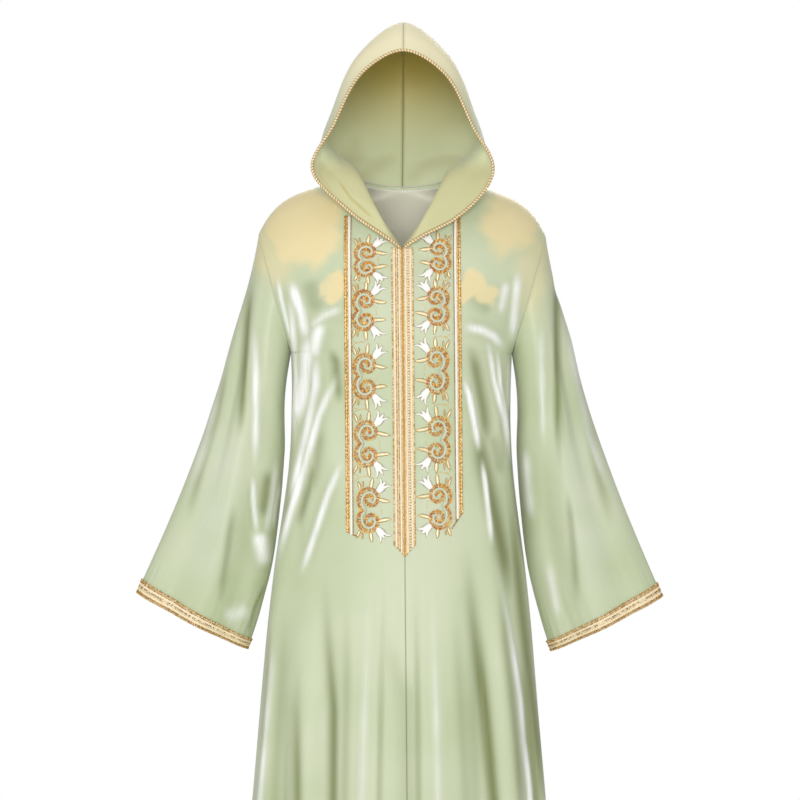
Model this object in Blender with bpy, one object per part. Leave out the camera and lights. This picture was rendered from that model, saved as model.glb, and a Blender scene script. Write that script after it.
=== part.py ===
"""Hooded maxi dress, worn shape with no wearer.

Every piece of cloth is a wall worked out from section tables: two front panels, a back,
two bell sleeves and two hood halves. The braids are made from the points of the panel they
lie on, moved out. Metres, +Z up. The front faces -Y, and "left" is the -X side, seen from
the front. The origin is level with the shoulders, on the middle of the neck.
"""
import math

import bmesh
import bpy
import numpy as np

for leftover in list(bpy.data.objects):
    bpy.data.objects.remove(leftover, do_unlink=True)

# Cloth and seams
WALL = 0.0015
SEAM_GAP = 0.0004
BRAID_LIFT = 0.0004
BRAID_WALL = 0.0014
ROPE_RADIUS = 0.0030
ROPE_CLEAR = 0.0008

# Heights and widths that drive the cut
HEM_HEIGHT = -1.450
HIP_HEIGHT = -0.600
ARMPIT = (0.171, -0.245)
SHOULDER_TIP = (0.222, -0.062)
NECK_POINT = (0.080, 0.028)
V_BOTTOM_HEIGHT = -0.090
BACK_NECK_HEIGHT = 0.012
BACK_NECK_DEPTH = 0.068
ARMHOLE_DEPTH_FRONT = 0.060
ARMHOLE_DEPTH_BACK = 0.066
CENTRE_SEAM_SWING = 0.016

# How full the neck curve is, in height and in depth
NECK_FULLNESS = 2.2
NECK_DEPTH_POWER = 0.6

# The section stops short of the side seam by this angle from the armhole up, reached
# over this share of the armhole. The shoulder slopes by a mix of a line and a power.
SHOULDER_TURN = 32.0
SHOULDER_TURN_SHARE = 0.4
SHOULDER_LINE_SHARE = 0.5
SHOULDER_DROP_POWER = 6

# How much further apart the columns by the centre stand at the hem, and how much closer
# along the neckline
COLUMN_FLARE = 0.6
COLUMN_PULL = 0.75

# Front trims, measured from the centre-front seam
PLACKET_WIDTH = 0.0165
PLACKET_SIDE_HEIGHT = -0.538
PLACKET_POINT_HEIGHT = -0.560
BORDER_INNER = 0.0771
BORDER_OUTER = 0.0881
BORDER_TOP_HEIGHT = -0.040
# Heights where each border ends, at its outer and inner edge
BORDER_ENDS = {-1: (-0.516, -0.523), 1: (-0.486, -0.500)}
TRIM_END_CLEAR = 0.006
PLACKET_TOP_DROP = 0.004
PLACKET_COLUMN = 0
BORDER_COLUMN = 5
CUFF_BAND = 0.0165

# How finely the walls are divided
FIELD_COLUMNS = 4
SKIRT_ROWS = 12
WAIST_ROWS = 9
ARMHOLE_ROWS = 9
FRONT_NECK_ROWS = 5
BACK_NECK_ROWS = 3
OUTER_FRONT_COLUMNS = 7
BACK_COLUMNS = 11
SLEEVE_ROWS = 13
HOOD_COLUMNS_PER_ROW = 2
ROPE_SIDES = 6

SECTION_ROUNDNESS = 2.3

# Columns: height, half width at the side seam
SIDE_LINE = (
    (-1.450, 0.262),
    (-1.100, 0.240),
    (-0.925, 0.225),
    (-0.700, 0.207),
    (-0.585, 0.195),
    (-0.440, 0.175),
    (-0.375, 0.170),
    (-0.300, 0.169),
    (-0.245, 0.171),
)

# Columns: height, depth of the centre front, depth of the centre back
DEPTH_LINE = (
    (-1.450, 0.200, 0.210),
    (-1.100, 0.178, 0.186),
    (-0.925, 0.163, 0.172),
    (-0.700, 0.146, 0.156),
    (-0.585, 0.137, 0.144),
    (-0.440, 0.123, 0.120),
    (-0.375, 0.120, 0.111),
    (-0.300, 0.122, 0.112),
    (-0.245, 0.125, 0.116),
    (-0.165, 0.124, 0.118),
    (-0.090, 0.116, 0.110),
    (-0.030, 0.105, 0.089),
    (0.012, 0.090, 0.068),
)

# Columns: across at the top, top height, across at the bottom, bottom height,
# width, depth (out is +). Across is in quarters of the way round: 0 is the centre front,
# 1 and -1 the side seams, 2 and -2 the centre back.
BODY_FOLDS = (
    (-0.34, -0.56, -0.24, -1.45, 0.065, -0.012),
    (-0.50, -0.52, -0.38, -1.45, 0.075, 0.008),
    (-0.62, -0.66, -0.52, -1.45, 0.060, -0.012),
    (-0.74, -0.40, -0.70, -1.45, 0.090, 0.008),
    (-0.12, -0.66, -0.10, -1.45, 0.070, 0.006),
    (0.13, -0.66, 0.13, -1.45, 0.070, 0.007),
    (0.33, -0.50, 0.36, -1.45, 0.065, -0.015),
    (0.47, -0.42, 0.55, -1.45, 0.075, 0.011),
    (0.68, -0.64, 0.70, -1.45, 0.065, -0.009),
    (0.84, -0.62, 0.85, -1.45, 0.080, 0.006),
    (-0.62, -0.12, -0.32, -0.52, 0.070, 0.005),
    (-0.80, -0.20, -0.56, -0.62, 0.060, -0.004),
    (0.30, -0.27, 0.60, -0.62, 0.060, 0.005),
    (0.62, -0.12, 0.66, -0.50, 0.070, 0.005),
    (1.18, -0.55, 1.16, -1.45, 0.080, -0.010),
    (1.36, -0.32, 1.33, -1.45, 0.090, 0.011),
    (1.56, -0.50, 1.52, -1.45, 0.070, -0.013),
    (1.74, -0.38, 1.72, -1.45, 0.080, 0.010),
    (1.93, -0.60, 1.90, -1.45, 0.070, -0.008),
    (-1.16, -0.60, -1.14, -1.45, 0.080, -0.010),
    (-1.33, -0.36, -1.30, -1.45, 0.085, 0.012),
    (-1.52, -0.46, -1.50, -1.45, 0.070, -0.012),
    (-1.72, -0.34, -1.68, -1.45, 0.085, 0.010),
    (-1.90, -0.56, -1.86, -1.45, 0.065, -0.009),
)
FOLD_FADE = 0.16
FOLD_START = 0.35
SHOULDER_FADE = 0.12

# Columns: way down the sleeve, outer edge across and height, under edge across and
# height, half depth, how far the middle lies back
SLEEVE_SECTIONS = (
    (0.00, 0.222, -0.062, 0.171, -0.245, 0.060, 0.003),
    (0.15, 0.238, -0.125, 0.1765, -0.310, 0.060, 0.004),
    (0.35, 0.264, -0.228, 0.180, -0.400, 0.056, 0.006),
    (0.55, 0.294, -0.336, 0.187, -0.490, 0.053, 0.006),
    (0.75, 0.336, -0.452, 0.1985, -0.576, 0.052, 0.004),
    (0.90, 0.3755, -0.548, 0.2175, -0.650, 0.050, 0.002),
    (1.00, 0.4065, -0.620, 0.2365, -0.705, 0.048, 0.000),
)
SLEEVE_SET_IN = 0.35
SLEEVE_FULLNESS = 0.25
SLEEVE_FOLD_START = 0.3

# Angles from the armpit over which the sleeve head's edge turns from square with the
# armhole to in line with the panels
HEAD_TURN_FROM = 25.0
HEAD_TURN_TO = 65.0

# Columns: angle at the top, angle at the bottom (0 outer edge, 90 front, 180 under,
# 270 back), way down where it starts and ends, width in degrees, depth (out is +)
SLEEVE_FOLDS = (
    (40.0, 66.0, 0.12, 0.98, 15.0, -0.0070),
    (62.0, 96.0, 0.22, 1.00, 16.0, 0.0055),
    (112.0, 128.0, 0.40, 1.00, 14.0, -0.0050),
    (300.0, 288.0, 0.10, 1.00, 18.0, -0.0070),
    (268.0, 252.0, 0.25, 1.00, 18.0, 0.0060),
    (232.0, 226.0, 0.45, 1.00, 14.0, -0.0050),
)

# A row for each rib of a hood half, from the face edge round to the centre back.
# Columns: way back along the neckline, then the rib's points: the roll over the neckline,
# lapel, widest place, temple, brow and crown. The neck end comes from the panels.
HOOD_RIBS = (
    (0.00, (0.020, -0.1275, -0.0735), (0.076, -0.113, -0.034), (0.136, -0.093, 0.031),
     (0.106, -0.088, 0.100), (0.064, -0.088, 0.179), (0.000, -0.082, 0.2155)),
    (0.22, (0.042, -0.1190, -0.026), (0.082, -0.104, 0.002), (0.128, -0.070, 0.048),
     (0.110, -0.062, 0.112), (0.070, -0.054, 0.204), (0.000, -0.042, 0.2475)),
    (0.45, (0.069, -0.0740, 0.030), (0.096, -0.064, 0.046), (0.122, -0.037, 0.076),
     (0.110, -0.024, 0.126), (0.070, -0.010, 0.215), (0.000, 0.002, 0.2680)),
    (0.70, (0.086, 0.0260, 0.052), (0.100, 0.034, 0.070), (0.106, 0.050, 0.098),
     (0.098, 0.062, 0.140), (0.062, 0.068, 0.217), (0.000, 0.064, 0.2660)),
    (1.00, (0.000, 0.0820, 0.036), (0.000, 0.100, 0.065), (0.000, 0.122, 0.105),
     (0.000, 0.134, 0.150), (0.000, 0.132, 0.199), (0.000, 0.118, 0.2320)),
)
RIB_PLACES = (0.00, 0.07, 0.22, 0.42, 0.62, 0.84, 1.00)
HOOD_ROW_PLACES = (0.0, 0.035, 0.07, 0.12, 0.18, 0.25, 0.33, 0.42, 0.51, 0.60, 0.69, 0.78,
                   0.87, 0.94, 1.0)
ROPE_START = 2
RIGHT_LAPEL_DROP = 0.011
LAPEL_PLACE = 0.27
LAPEL_SPREAD = 0.13
LAPEL_DEPTH_BACK = 0.35
HOOD_MIDDLE = (0.0, 0.0, 0.10)

# Colours
SATIN_HEX = "C6D3AC"
HOOD_HEX = "C8D4A8"
GOLD_HEX = "C29A4B"
CREAM_BRAID_HEX = "E6D3A0"


def linear_colour(hex_text):
    """Linear red, green, blue and alpha of an sRGB hex colour."""
    channels = [int(hex_text[i:i + 2], 16) / 255 for i in (0, 2, 4)]
    curve = [c / 12.92 if c <= 0.04045 else ((c + 0.055) / 1.055) ** 2.4 for c in channels]
    return (*curve, 1.0)


def make_material(name, hex_text, roughness, metallic):
    """Plain Principled material."""
    material = bpy.data.materials.new(name)
    material.use_nodes = True
    shader = material.node_tree.nodes["Principled BSDF"]
    shader.inputs["Base Color"].default_value = linear_colour(hex_text)
    shader.inputs["Roughness"].default_value = roughness
    shader.inputs["Metallic"].default_value = metallic
    return material


def through(places, values, at):
    """Smooth curve through values (numbers or points) that stand at rising places."""
    places = np.asarray(places, float)
    values = np.asarray(values, float)
    last = len(places) - 1
    i = int(np.clip(np.searchsorted(places, at) - 1, 0, last - 1))
    span = places[i + 1] - places[i]

    def slope(j):
        before, after = max(j - 1, 0), min(j + 1, last)
        return (values[after] - values[before]) / (places[after] - places[before])

    s = (at - places[i]) / span
    return ((2 * s ** 3 - 3 * s ** 2 + 1) * values[i]
            + (s ** 3 - 2 * s ** 2 + s) * span * slope(i)
            + (3 * s ** 2 - 2 * s ** 3) * values[i + 1]
            + (s ** 3 - s ** 2) * span * slope(i + 1))


def table_value(table, at, column):
    """A column of a table, read smoothly at a place in its first column."""
    return float(through([row[0] for row in table], [row[column] for row in table], at))


def smooth_step(low, high, at):
    """0 below low, 1 above high, smooth between."""
    s = np.clip((at - low) / (high - low), 0.0, 1.0)
    return s * s * (3 - 2 * s)


def unit(vectors):
    """Vectors at length 1."""
    return vectors / np.maximum(np.linalg.norm(vectors, axis=-1, keepdims=True), 1e-12)


def without(vectors, axis):
    """Vectors with one axis taken out, at length 1, so that a seam's faces are square."""
    flat = vectors.copy()
    flat[..., axis] = 0.0
    return unit(flat)


def grid_normals(points, outward, ring=False):
    """Normals of a grid of points, on the side that the outward vector shows."""
    if ring:
        across = np.roll(points, -1, axis=1) - np.roll(points, 1, axis=1)
    else:
        across = np.gradient(points, axis=1)
    along = np.gradient(points, axis=0)
    normals = unit(np.cross(across, along))
    if np.sum(normals * outward) < 0:
        normals = -normals
    return normals


def centre_seam(height):
    """Where the centre-front seam runs: it swings a little to one side going down."""
    return CENTRE_SEAM_SWING * max(0.0, V_BOTTOM_HEIGHT - height)


def armhole_point(row):
    """Across, share of the armhole's depth, and height, from the armpit up to the tip."""
    angle = math.pi * row / ARMHOLE_ROWS
    way = (1 - math.cos(angle)) / 2
    across = ARMPIT[0] + (SHOULDER_TIP[0] - ARMPIT[0]) * way
    height = ARMPIT[1] + (SHOULDER_TIP[1] - ARMPIT[1]) * way
    return across, math.sin(angle), height


def front_inner_edge(row):
    """Across, depth and height of the front's inner edge: centre front, then neckline."""
    straight_rows = ARMHOLE_ROWS - FRONT_NECK_ROWS
    if row <= straight_rows:
        height = ARMPIT[1] + (V_BOTTOM_HEIGHT - ARMPIT[1]) * row / straight_rows
        return 0.0, table_value(DEPTH_LINE, height, 1), height
    way = math.sin(math.pi / 2 * (row - straight_rows) / FRONT_NECK_ROWS)
    share = (1 - way ** NECK_FULLNESS) ** NECK_DEPTH_POWER
    depth = table_value(DEPTH_LINE, V_BOTTOM_HEIGHT, 1) * share
    height = V_BOTTOM_HEIGHT + (NECK_POINT[1] - V_BOTTOM_HEIGHT) * way
    return NECK_POINT[0] * way, depth, height


def back_inner_edge(row):
    """Across, depth and height of the back's inner edge: centre back, then neckline."""
    straight_rows = ARMHOLE_ROWS - BACK_NECK_ROWS
    if row <= straight_rows:
        height = ARMPIT[1] + (BACK_NECK_HEIGHT - ARMPIT[1]) * row / straight_rows
        return 0.0, table_value(DEPTH_LINE, height, 2), height
    angle = math.pi / 2 * (row - straight_rows) / BACK_NECK_ROWS
    height = NECK_POINT[1] + (BACK_NECK_HEIGHT - NECK_POINT[1]) * math.cos(angle)
    return NECK_POINT[0] * math.sin(angle), BACK_NECK_DEPTH * math.cos(angle), height


def lower_heights():
    """Row heights from the hem to the armpit."""
    skirt = np.linspace(HEM_HEIGHT, HIP_HEIGHT, SKIRT_ROWS + 1)[:-1]
    waist = np.linspace(HIP_HEIGHT, ARMPIT[1], WAIST_ROWS + 1)
    return [float(h) for h in (*skirt, *waist)]


def fold_offset(across, height):
    """How far the folds push the cloth out at a place round the body."""
    offset = 0.0
    for top, top_height, bottom, bottom_height, width, depth in BODY_FOLDS:
        way = (top_height - height) / (top_height - bottom_height)
        middle = top + (bottom - top) * np.clip(way, 0.0, 1.0)
        gap = abs(across - middle)
        gap = min(gap, 4.0 - gap)
        strength = smooth_step(0.0, FOLD_START, top_height - height)
        if bottom_height > HEM_HEIGHT:
            strength *= smooth_step(0.0, FOLD_FADE, height - bottom_height)
        offset += depth * strength * math.exp(-(gap / width) ** 2)
    return offset


def panel(side, is_front):
    """Points and normals of one side of the front or back, from the hem to the shoulder.

    Near the centre the columns stand at fixed distances from the seam, so that the
    placket and the border braid lie on them. Further out they share the angle evenly.
    """
    facing = -1.0 if is_front else 1.0
    depth_column = 1 if is_front else 2
    armhole_depth = ARMHOLE_DEPTH_FRONT if is_front else ARMHOLE_DEPTH_BACK
    inner_edge = front_inner_edge if is_front else back_inner_edge
    power = 2.0 / SECTION_ROUNDNESS

    rows = []
    for height in lower_heights()[:-1]:
        seam = centre_seam(height) * side if is_front else 0.0
        depth = table_value(DEPTH_LINE, height, depth_column)
        rows.append(((seam, depth, height),
                     (table_value(SIDE_LINE, height, 1), 0.0, height), 0.0))
    for row in range(ARMHOLE_ROWS + 1):
        across, share, height = armhole_point(row)
        inner = inner_edge(row)
        if row <= ARMHOLE_ROWS - FRONT_NECK_ROWS and is_front:
            inner = (centre_seam(inner[2]) * side, inner[1], inner[2])
        rows.append((inner, (across, share * armhole_depth, height), row / ARMHOLE_ROWS))

    if is_front:
        field = BORDER_INNER - PLACKET_WIDTH
        field_places = [PLACKET_WIDTH + field * i / FIELD_COLUMNS
                        for i in range(FIELD_COLUMNS + 1)]
        fixed = [0.0, *field_places, BORDER_OUTER]
        spread = OUTER_FRONT_COLUMNS
    else:
        fixed = [0.0]
        spread = BACK_COLUMNS

    points = np.zeros((len(rows), len(fixed) + spread, 3))
    place = np.zeros((len(rows), len(fixed) + spread))
    for i, (inner, outer, up) in enumerate(rows):
        limit = math.radians(90 - SHOULDER_TURN * smooth_step(0.0, SHOULDER_TURN_SHARE, up))
        pulled = max(0.0, inner[0] / NECK_POINT[0]) if is_front and up > 0 else 0.0
        flare = 1 + COLUMN_FLARE * smooth_step(-PLACKET_POINT_HEIGHT, -HEM_HEIGHT, -inner[2])
        angles = []
        for offset in fixed:
            beside = offset * flare * (1 - COLUMN_PULL * pulled)
            share = beside / (outer[0] - inner[0])
            angles.append(math.asin(min(1.0, share ** (1 / power) * math.sin(limit))))
        for j in range(spread):
            angles.append(angles[len(fixed) - 1]
                          + (limit - angles[len(fixed) - 1]) * (j + 1) / spread)
        edge_cos = math.cos(limit) ** power if limit < math.pi / 2 else 0.0
        for j, angle in enumerate(angles):
            share = (math.sin(angle) / math.sin(limit)) ** power
            cosine = max(0.0, math.cos(angle)) ** power
            deep = (cosine - edge_cos) / (1 - edge_cos)
            curved = share ** SHOULDER_DROP_POWER
            shoulder = curved + SHOULDER_LINE_SHARE * (share - curved)
            slope = (1 - up) * share + up * shoulder
            points[i, j] = (side * (inner[0] + (outer[0] - inner[0]) * share),
                            facing * (outer[1] + (inner[1] - outer[1]) * deep),
                            inner[2] + (outer[2] - inner[2]) * slope)
            quarter = angle / limit
            place[i, j] = side * (quarter if is_front else 2.0 - quarter)

    outward = np.array([side * 0.5, facing, 0.3])
    normals = grid_normals(points, outward)
    shoulder_fade = 1 - smooth_step(0.0, SHOULDER_FADE, points[..., 2] - ARMPIT[1])
    for i in range(points.shape[0]):
        for j in range(points.shape[1]):
            push = fold_offset(place[i, j], points[i, j, 2]) * shoulder_fade[i, j]
            points[i, j, :2] += normals[i, j, :2] * push

    normals = grid_normals(points, outward)
    side_rows = len(lower_heights())
    centre_rows = side_rows + ARMHOLE_ROWS - (FRONT_NECK_ROWS if is_front else BACK_NECK_ROWS)
    normals[:centre_rows, 0] = without(normals[:centre_rows, 0], 0)
    normals[:side_rows, -1] = without(normals[:side_rows, -1], 1)
    normals[-1, :] = without(normals[-1, :], 1)
    half_gap = SEAM_GAP / 2
    points[:side_rows, -1, 1] += facing * half_gap
    points[-1, :, 1] += facing * half_gap
    if is_front:
        points[:centre_rows, 0, 0] += side * half_gap
    return points, normals


def finish_object(name, bm, material, smooth_angle=50):
    """Object of a closed mesh, with outward faces, split into triangles in a fixed way."""
    bmesh.ops.recalc_face_normals(bm, faces=bm.faces[:])
    bmesh.ops.triangulate(bm, faces=bm.faces[:], quad_method="FIXED", ngon_method="BEAUTY")
    mesh = bpy.data.meshes.new(name)
    bm.to_mesh(mesh)
    bm.free()
    mesh.materials.append(material)
    mesh.shade_smooth()
    mesh.set_sharp_from_angle(angle=math.radians(smooth_angle))
    thing = bpy.data.objects.new(name, mesh)
    bpy.context.scene.collection.objects.link(thing)
    return thing


def cloth_wall(name, sheets, material, thickness=WALL, ring=False):
    """Wall whose outer face runs through grids of points. Grids that share points join."""
    bm = bmesh.new()
    inward = bm.verts.layers.float_vector.new("inward")
    for points, normals in sheets:
        rows, columns = points.shape[:2]
        grid = []
        for i in range(rows):
            grid.append([])
            for j in range(columns):
                vert = bm.verts.new(points[i, j])
                vert[inward] = -normals[i, j] * thickness
                grid[i].append(vert)
        for i in range(rows - 1):
            for j in range(columns if ring else columns - 1):
                k = (j + 1) % columns
                bm.faces.new((grid[i][j], grid[i][k], grid[i + 1][k], grid[i + 1][j]))
    bmesh.ops.remove_doubles(bm, verts=bm.verts[:], dist=1e-6)
    made = bmesh.ops.extrude_face_region(bm, geom=bm.faces[:], use_keep_orig=True)
    for vert in [v for v in made["geom"] if isinstance(v, bmesh.types.BMVert)]:
        vert.co += vert[inward]
    return finish_object(name, bm, material)


def lifted(points, normals):
    """Outer points and normals of a braid that lies on a wall."""
    return points + normals * (BRAID_LIFT + BRAID_WALL), normals


def sleeve(side, front, back):
    """Points and normals of a sleeve: rings from the armhole down to the cuff."""
    first = len(lower_heights()) - 1
    front_points, front_normals = front[0][first:, -1], front[1][first:, -1]
    back_points, back_normals = back[0][first:, -1], back[1][first:, -1]
    loop = np.concatenate((front_points[::-1], back_points[1:-1]))
    loop_normals = np.concatenate((front_normals[::-1], back_normals[1:-1]))
    loop[0, 1] = 0.0
    loop[ARMHOLE_ROWS, 1] = 0.0
    columns = len(loop)
    angles = [360.0 * j / columns for j in range(columns)]

    places = [row[0] for row in SLEEVE_SECTIONS]
    length = SLEEVE_SECTIONS[0][2] - SLEEVE_SECTIONS[-1][2]
    band_place = 1 - CUFF_BAND / length
    downs = [band_place * i / (SLEEVE_ROWS - 1) for i in range(SLEEVE_ROWS)] + [1.0]
    middle_start = np.array([side * (ARMPIT[0] + SHOULDER_TIP[0]) / 2, 0.0,
                             (ARMPIT[1] + SHOULDER_TIP[1]) / 2])
    points = np.zeros((len(downs), columns, 3))
    for i, down in enumerate(downs):
        row = through(places, [r[1:] for r in SLEEVE_SECTIONS], down)
        outer = np.array([side * row[0], row[5], row[1]])
        under = np.array([side * row[2], row[5], row[3]])
        middle, half = (outer + under) / 2, (outer - under) / 2
        set_in = smooth_step(0.0, SLEEVE_SET_IN, down)
        for j, angle in enumerate(angles):
            turn = math.radians(angle)
            full = math.sin(turn) * abs(math.sin(turn)) ** SLEEVE_FULLNESS
            lens = half * math.cos(turn) - np.array([0.0, row[4] * full, 0.0])
            hole = loop[j] - middle_start
            points[i, j] = middle + (1 - set_in) * hole + set_in * lens
    points[0] = loop
    normals = grid_normals(points, points - points.mean(axis=1, keepdims=True), ring=True)
    for i, down in enumerate(downs):
        for j, angle in enumerate(angles):
            push = 0.0
            for top, bottom, start, end, width, depth in SLEEVE_FOLDS:
                way = np.clip((down - start) / (end - start), 0.0, 1.0)
                gap = (angle - (top + (bottom - top) * way)) / width
                begun = smooth_step(start, start + SLEEVE_FOLD_START, down)
                push += depth * begun * math.exp(-gap ** 2)
            points[i, j] += normals[i, j] * push

    fold_over = np.array([smooth_step(HEAD_TURN_FROM, HEAD_TURN_TO, abs(180.0 - angle))
                          for angle in angles])[:, None]
    plane = unit(np.array([side * (SHOULDER_TIP[1] - ARMPIT[1]), 0.0,
                           ARMPIT[0] - SHOULDER_TIP[0]]))
    panel_columns = np.concatenate((front[0][first:, -2][::-1], back[0][first:, -2][1:-1]))
    along = unit(np.roll(loop, -1, axis=0) - np.roll(loop, 1, axis=0))
    away = unit(np.cross(along, loop_normals))
    away *= np.sign(np.sum(away * (loop - panel_columns), axis=1, keepdims=True))
    away = unit(away * fold_over + plane * (1 - fold_over))
    points[0] = loop + away * SEAM_GAP
    normals = grid_normals(points, points - points.mean(axis=1, keepdims=True), ring=True)
    normals[0] = unit(normals[0] * (1 - fold_over) + loop_normals * fold_over)
    normals[0, 0] = without(normals[0, 0], 1)
    return points, normals


def neckline(side, front, back):
    """Neckline points, normals and the way on from the cloth, front V to centre back."""
    front_rows = slice(front[0].shape[0] - 1 - FRONT_NECK_ROWS, None)
    back_rows = slice(back[0].shape[0] - 1 - BACK_NECK_ROWS, -1)
    edge = np.concatenate((front[0][front_rows, 0], back[0][back_rows, 0][::-1]))
    beside = np.concatenate((front[0][front_rows, 1], back[0][back_rows, 1][::-1]))
    normals = np.concatenate((front[1][front_rows, 0], back[1][back_rows, 0][::-1]))
    edge[FRONT_NECK_ROWS, 1] = 0.0
    edge[-1, 0] = side * SEAM_GAP / 2
    along = unit(np.gradient(edge, axis=0))
    away = unit(np.cross(along, normals))
    away *= np.sign(np.sum(away * (edge - beside), axis=1, keepdims=True))
    away[0] = without(away[0], 0)
    away[-1] = without(away[-1], 0)
    steps = (len(edge) - 1) * HOOD_COLUMNS_PER_ROW
    places = np.arange(len(edge)) / (len(edge) - 1)
    wanted = np.arange(steps + 1) / steps

    def read(values):
        return np.stack([np.interp(wanted, places, values[:, axis]) for axis in range(3)],
                        axis=1)

    return wanted, read(edge), unit(read(normals)), unit(read(away))


def hood_half(side, front, back):
    """Points and normals of a hood half: ribs from the face edge to the centre back."""
    backs, edge, edge_normals, away = neckline(side, front, back)
    mirror = np.array([-1.0, 1.0, 1.0])
    rib_places = [rib[0] for rib in HOOD_RIBS] + [2 - HOOD_RIBS[-2][0]]
    ribs = [np.array(rib[1:]) for rib in HOOD_RIBS]
    ribs.append(ribs[-2] * mirror)
    points = np.zeros((len(HOOD_ROW_PLACES), len(backs), 3))
    for j, place in enumerate(backs):
        rib = through(rib_places, ribs, place) * np.array([side, 1.0, 1.0])
        rib_line = np.concatenate(([edge[j] + away[j] * SEAM_GAP], rib, [rib[-2] * mirror]))
        line_places = (*RIB_PLACES, 2 - RIB_PLACES[-2])
        for i, up in enumerate(HOOD_ROW_PLACES):
            points[i, j] = through(line_places, rib_line, up)
            if side > 0:
                near = math.exp(-((up - LAPEL_PLACE) / LAPEL_SPREAD) ** 2)
                near *= 1 - smooth_step(0.0, LAPEL_DEPTH_BACK, place)
                points[i, j, 2] -= RIGHT_LAPEL_DROP * near
    half_gap = side * SEAM_GAP / 2
    points[:, -1, 0] = half_gap
    points[-1, :, 0] = half_gap
    normals = grid_normals(points, points - np.array(HOOD_MIDDLE))
    normals[0] = edge_normals
    normals[:, -1] = without(normals[:, -1], 0)
    normals[-1] = without(normals[-1], 0)
    return points, normals


def rope_round_hood(halves, material):
    """Rope along the face edge, from one side of the V over the crown to the other."""
    centres, outs, fronts = [], [], []
    for side in (-1, 1):
        points, normals = halves[side]
        rows = range(ROPE_START, points.shape[0])
        along = unit(np.gradient(points[:, 0], axis=0))
        out = unit(np.cross(along, normals[:, 0]))
        out *= np.sign(np.sum(out * (points[:, 0] - points[:, 1]), axis=1, keepdims=True))
        middle = points[:, 0] - normals[:, 0] * WALL / 2
        centre = middle + out * (ROPE_CLEAR + ROPE_RADIUS)
        order = list(rows) if side < 0 else list(rows)[::-1][1:]
        for i in order:
            if i == points.shape[0] - 1:
                centre[i, 0] = 0.0
                out[i] = without(out[i], 0)
            centres.append(centre[i])
            outs.append(out[i])
            fronts.append(normals[i, 0])
    centres, outs, fronts = np.array(centres), np.array(outs), np.array(fronts)
    bm = bmesh.new()
    rings = []
    for centre, out, front in zip(centres, outs, fronts):
        front = unit(front - out * np.dot(front, out))
        ring = []
        for k in range(ROPE_SIDES):
            turn = math.tau * (k + 0.5) / ROPE_SIDES
            ring.append(bm.verts.new(centre + ROPE_RADIUS
                                     * (math.cos(turn) * out + math.sin(turn) * front)))
        rings.append(ring)
    for ring, after in zip(rings, rings[1:]):
        for k in range(ROPE_SIDES):
            m = (k + 1) % ROPE_SIDES
            bm.faces.new((ring[k], ring[m], after[m], after[k]))
    bm.faces.new(rings[0])
    bm.faces.new(rings[-1][::-1])
    return finish_object("hood_edge_braid", bm, material)


def strip_on_panel(front, column, top, bottom_near, bottom_far):
    """Grid of the panel between two of its columns, cut at the given heights."""
    points, normals = front
    ends = {column: bottom_near, column + 1: bottom_far}
    shared = [i for i in range(len(points))
              if all(bottom + TRIM_END_CLEAR < points[i, j, 2] < top - TRIM_END_CLEAR
                     for j, bottom in ends.items())]

    def cut(level_of):
        """Points and normals of the two columns at a height that each one names."""
        row_points, row_normals = [], []
        for j, bottom in ends.items():
            level = level_of(bottom)
            above = int(np.searchsorted(points[:, j, 2], level))
            low, high = points[above - 1, j], points[above, j]
            way = (level - low[2]) / (high[2] - low[2])
            row_points.append(low + (high - low) * way)
            row_normals.append(unit(normals[above - 1, j] * (1 - way)
                                    + normals[above, j] * way))
        return row_points, row_normals

    strip = [cut(lambda bottom: bottom)]
    strip += [(points[i, column:column + 2], normals[i, column:column + 2]) for i in shared]
    strip.append(cut(lambda bottom: top))
    return (np.array([row_points for row_points, _ in strip]),
            np.array([row_normals for _, row_normals in strip]))


def build_dress():
    """All the pieces."""
    satin = make_material("sage_satin", SATIN_HEX, 0.35, 0.0)
    hood_satin = make_material("sage_satin_hood", HOOD_HEX, 0.40, 0.0)
    gold = make_material("gold_rope_braid", GOLD_HEX, 0.40, 0.6)
    cream = make_material("cream_gold_braid", CREAM_BRAID_HEX, 0.45, 0.3)

    backs = {side: panel(side, is_front=False) for side in (-1, 1)}
    fronts = {side: panel(side, is_front=True) for side in (-1, 1)}
    cloth_wall("back", [backs[-1], backs[1]], satin)
    hoods = {}
    for side, word in ((-1, "left"), (1, "right")):
        front = fronts[side]
        cloth_wall("front_" + word, [front], satin)

        tube = sleeve(side, front, backs[side])
        cloth_wall("sleeve_" + word, [tube], satin, ring=True)
        band = lifted(tube[0][-2:], tube[1][-2:])
        cloth_wall("cuff_braid_" + word, [band], cream, BRAID_WALL, ring=True)

        hoods[side] = hood_half(side, front, backs[side])
        cloth_wall("hood_" + word, [hoods[side]], hood_satin)

        placket = strip_on_panel(front, PLACKET_COLUMN, V_BOTTOM_HEIGHT - PLACKET_TOP_DROP,
                                 PLACKET_POINT_HEIGHT, PLACKET_SIDE_HEIGHT)
        placket = lifted(*placket)
        cloth_wall("placket_" + word, [placket], cream, BRAID_WALL)

        outer_end, inner_end = BORDER_ENDS[side]
        border = strip_on_panel(front, BORDER_COLUMN, BORDER_TOP_HEIGHT, inner_end, outer_end)
        border = lifted(*border)
        cloth_wall("border_braid_" + word, [border], gold, BRAID_WALL)
    rope_round_hood(hoods, gold)


build_dress()
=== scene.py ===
"""Looks of a hooded maxi dress: satin shells, braids, beadwork and stitching.

The front faces -Y and "left" is the -X side, as in the frame. Sizes are in metres unless
a table says millimetres.
"""
import math
import random

import bmesh
import bpy
import numpy as np
from mathutils import Matrix, Vector
from mathutils.bvhtree import BVHTree


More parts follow.
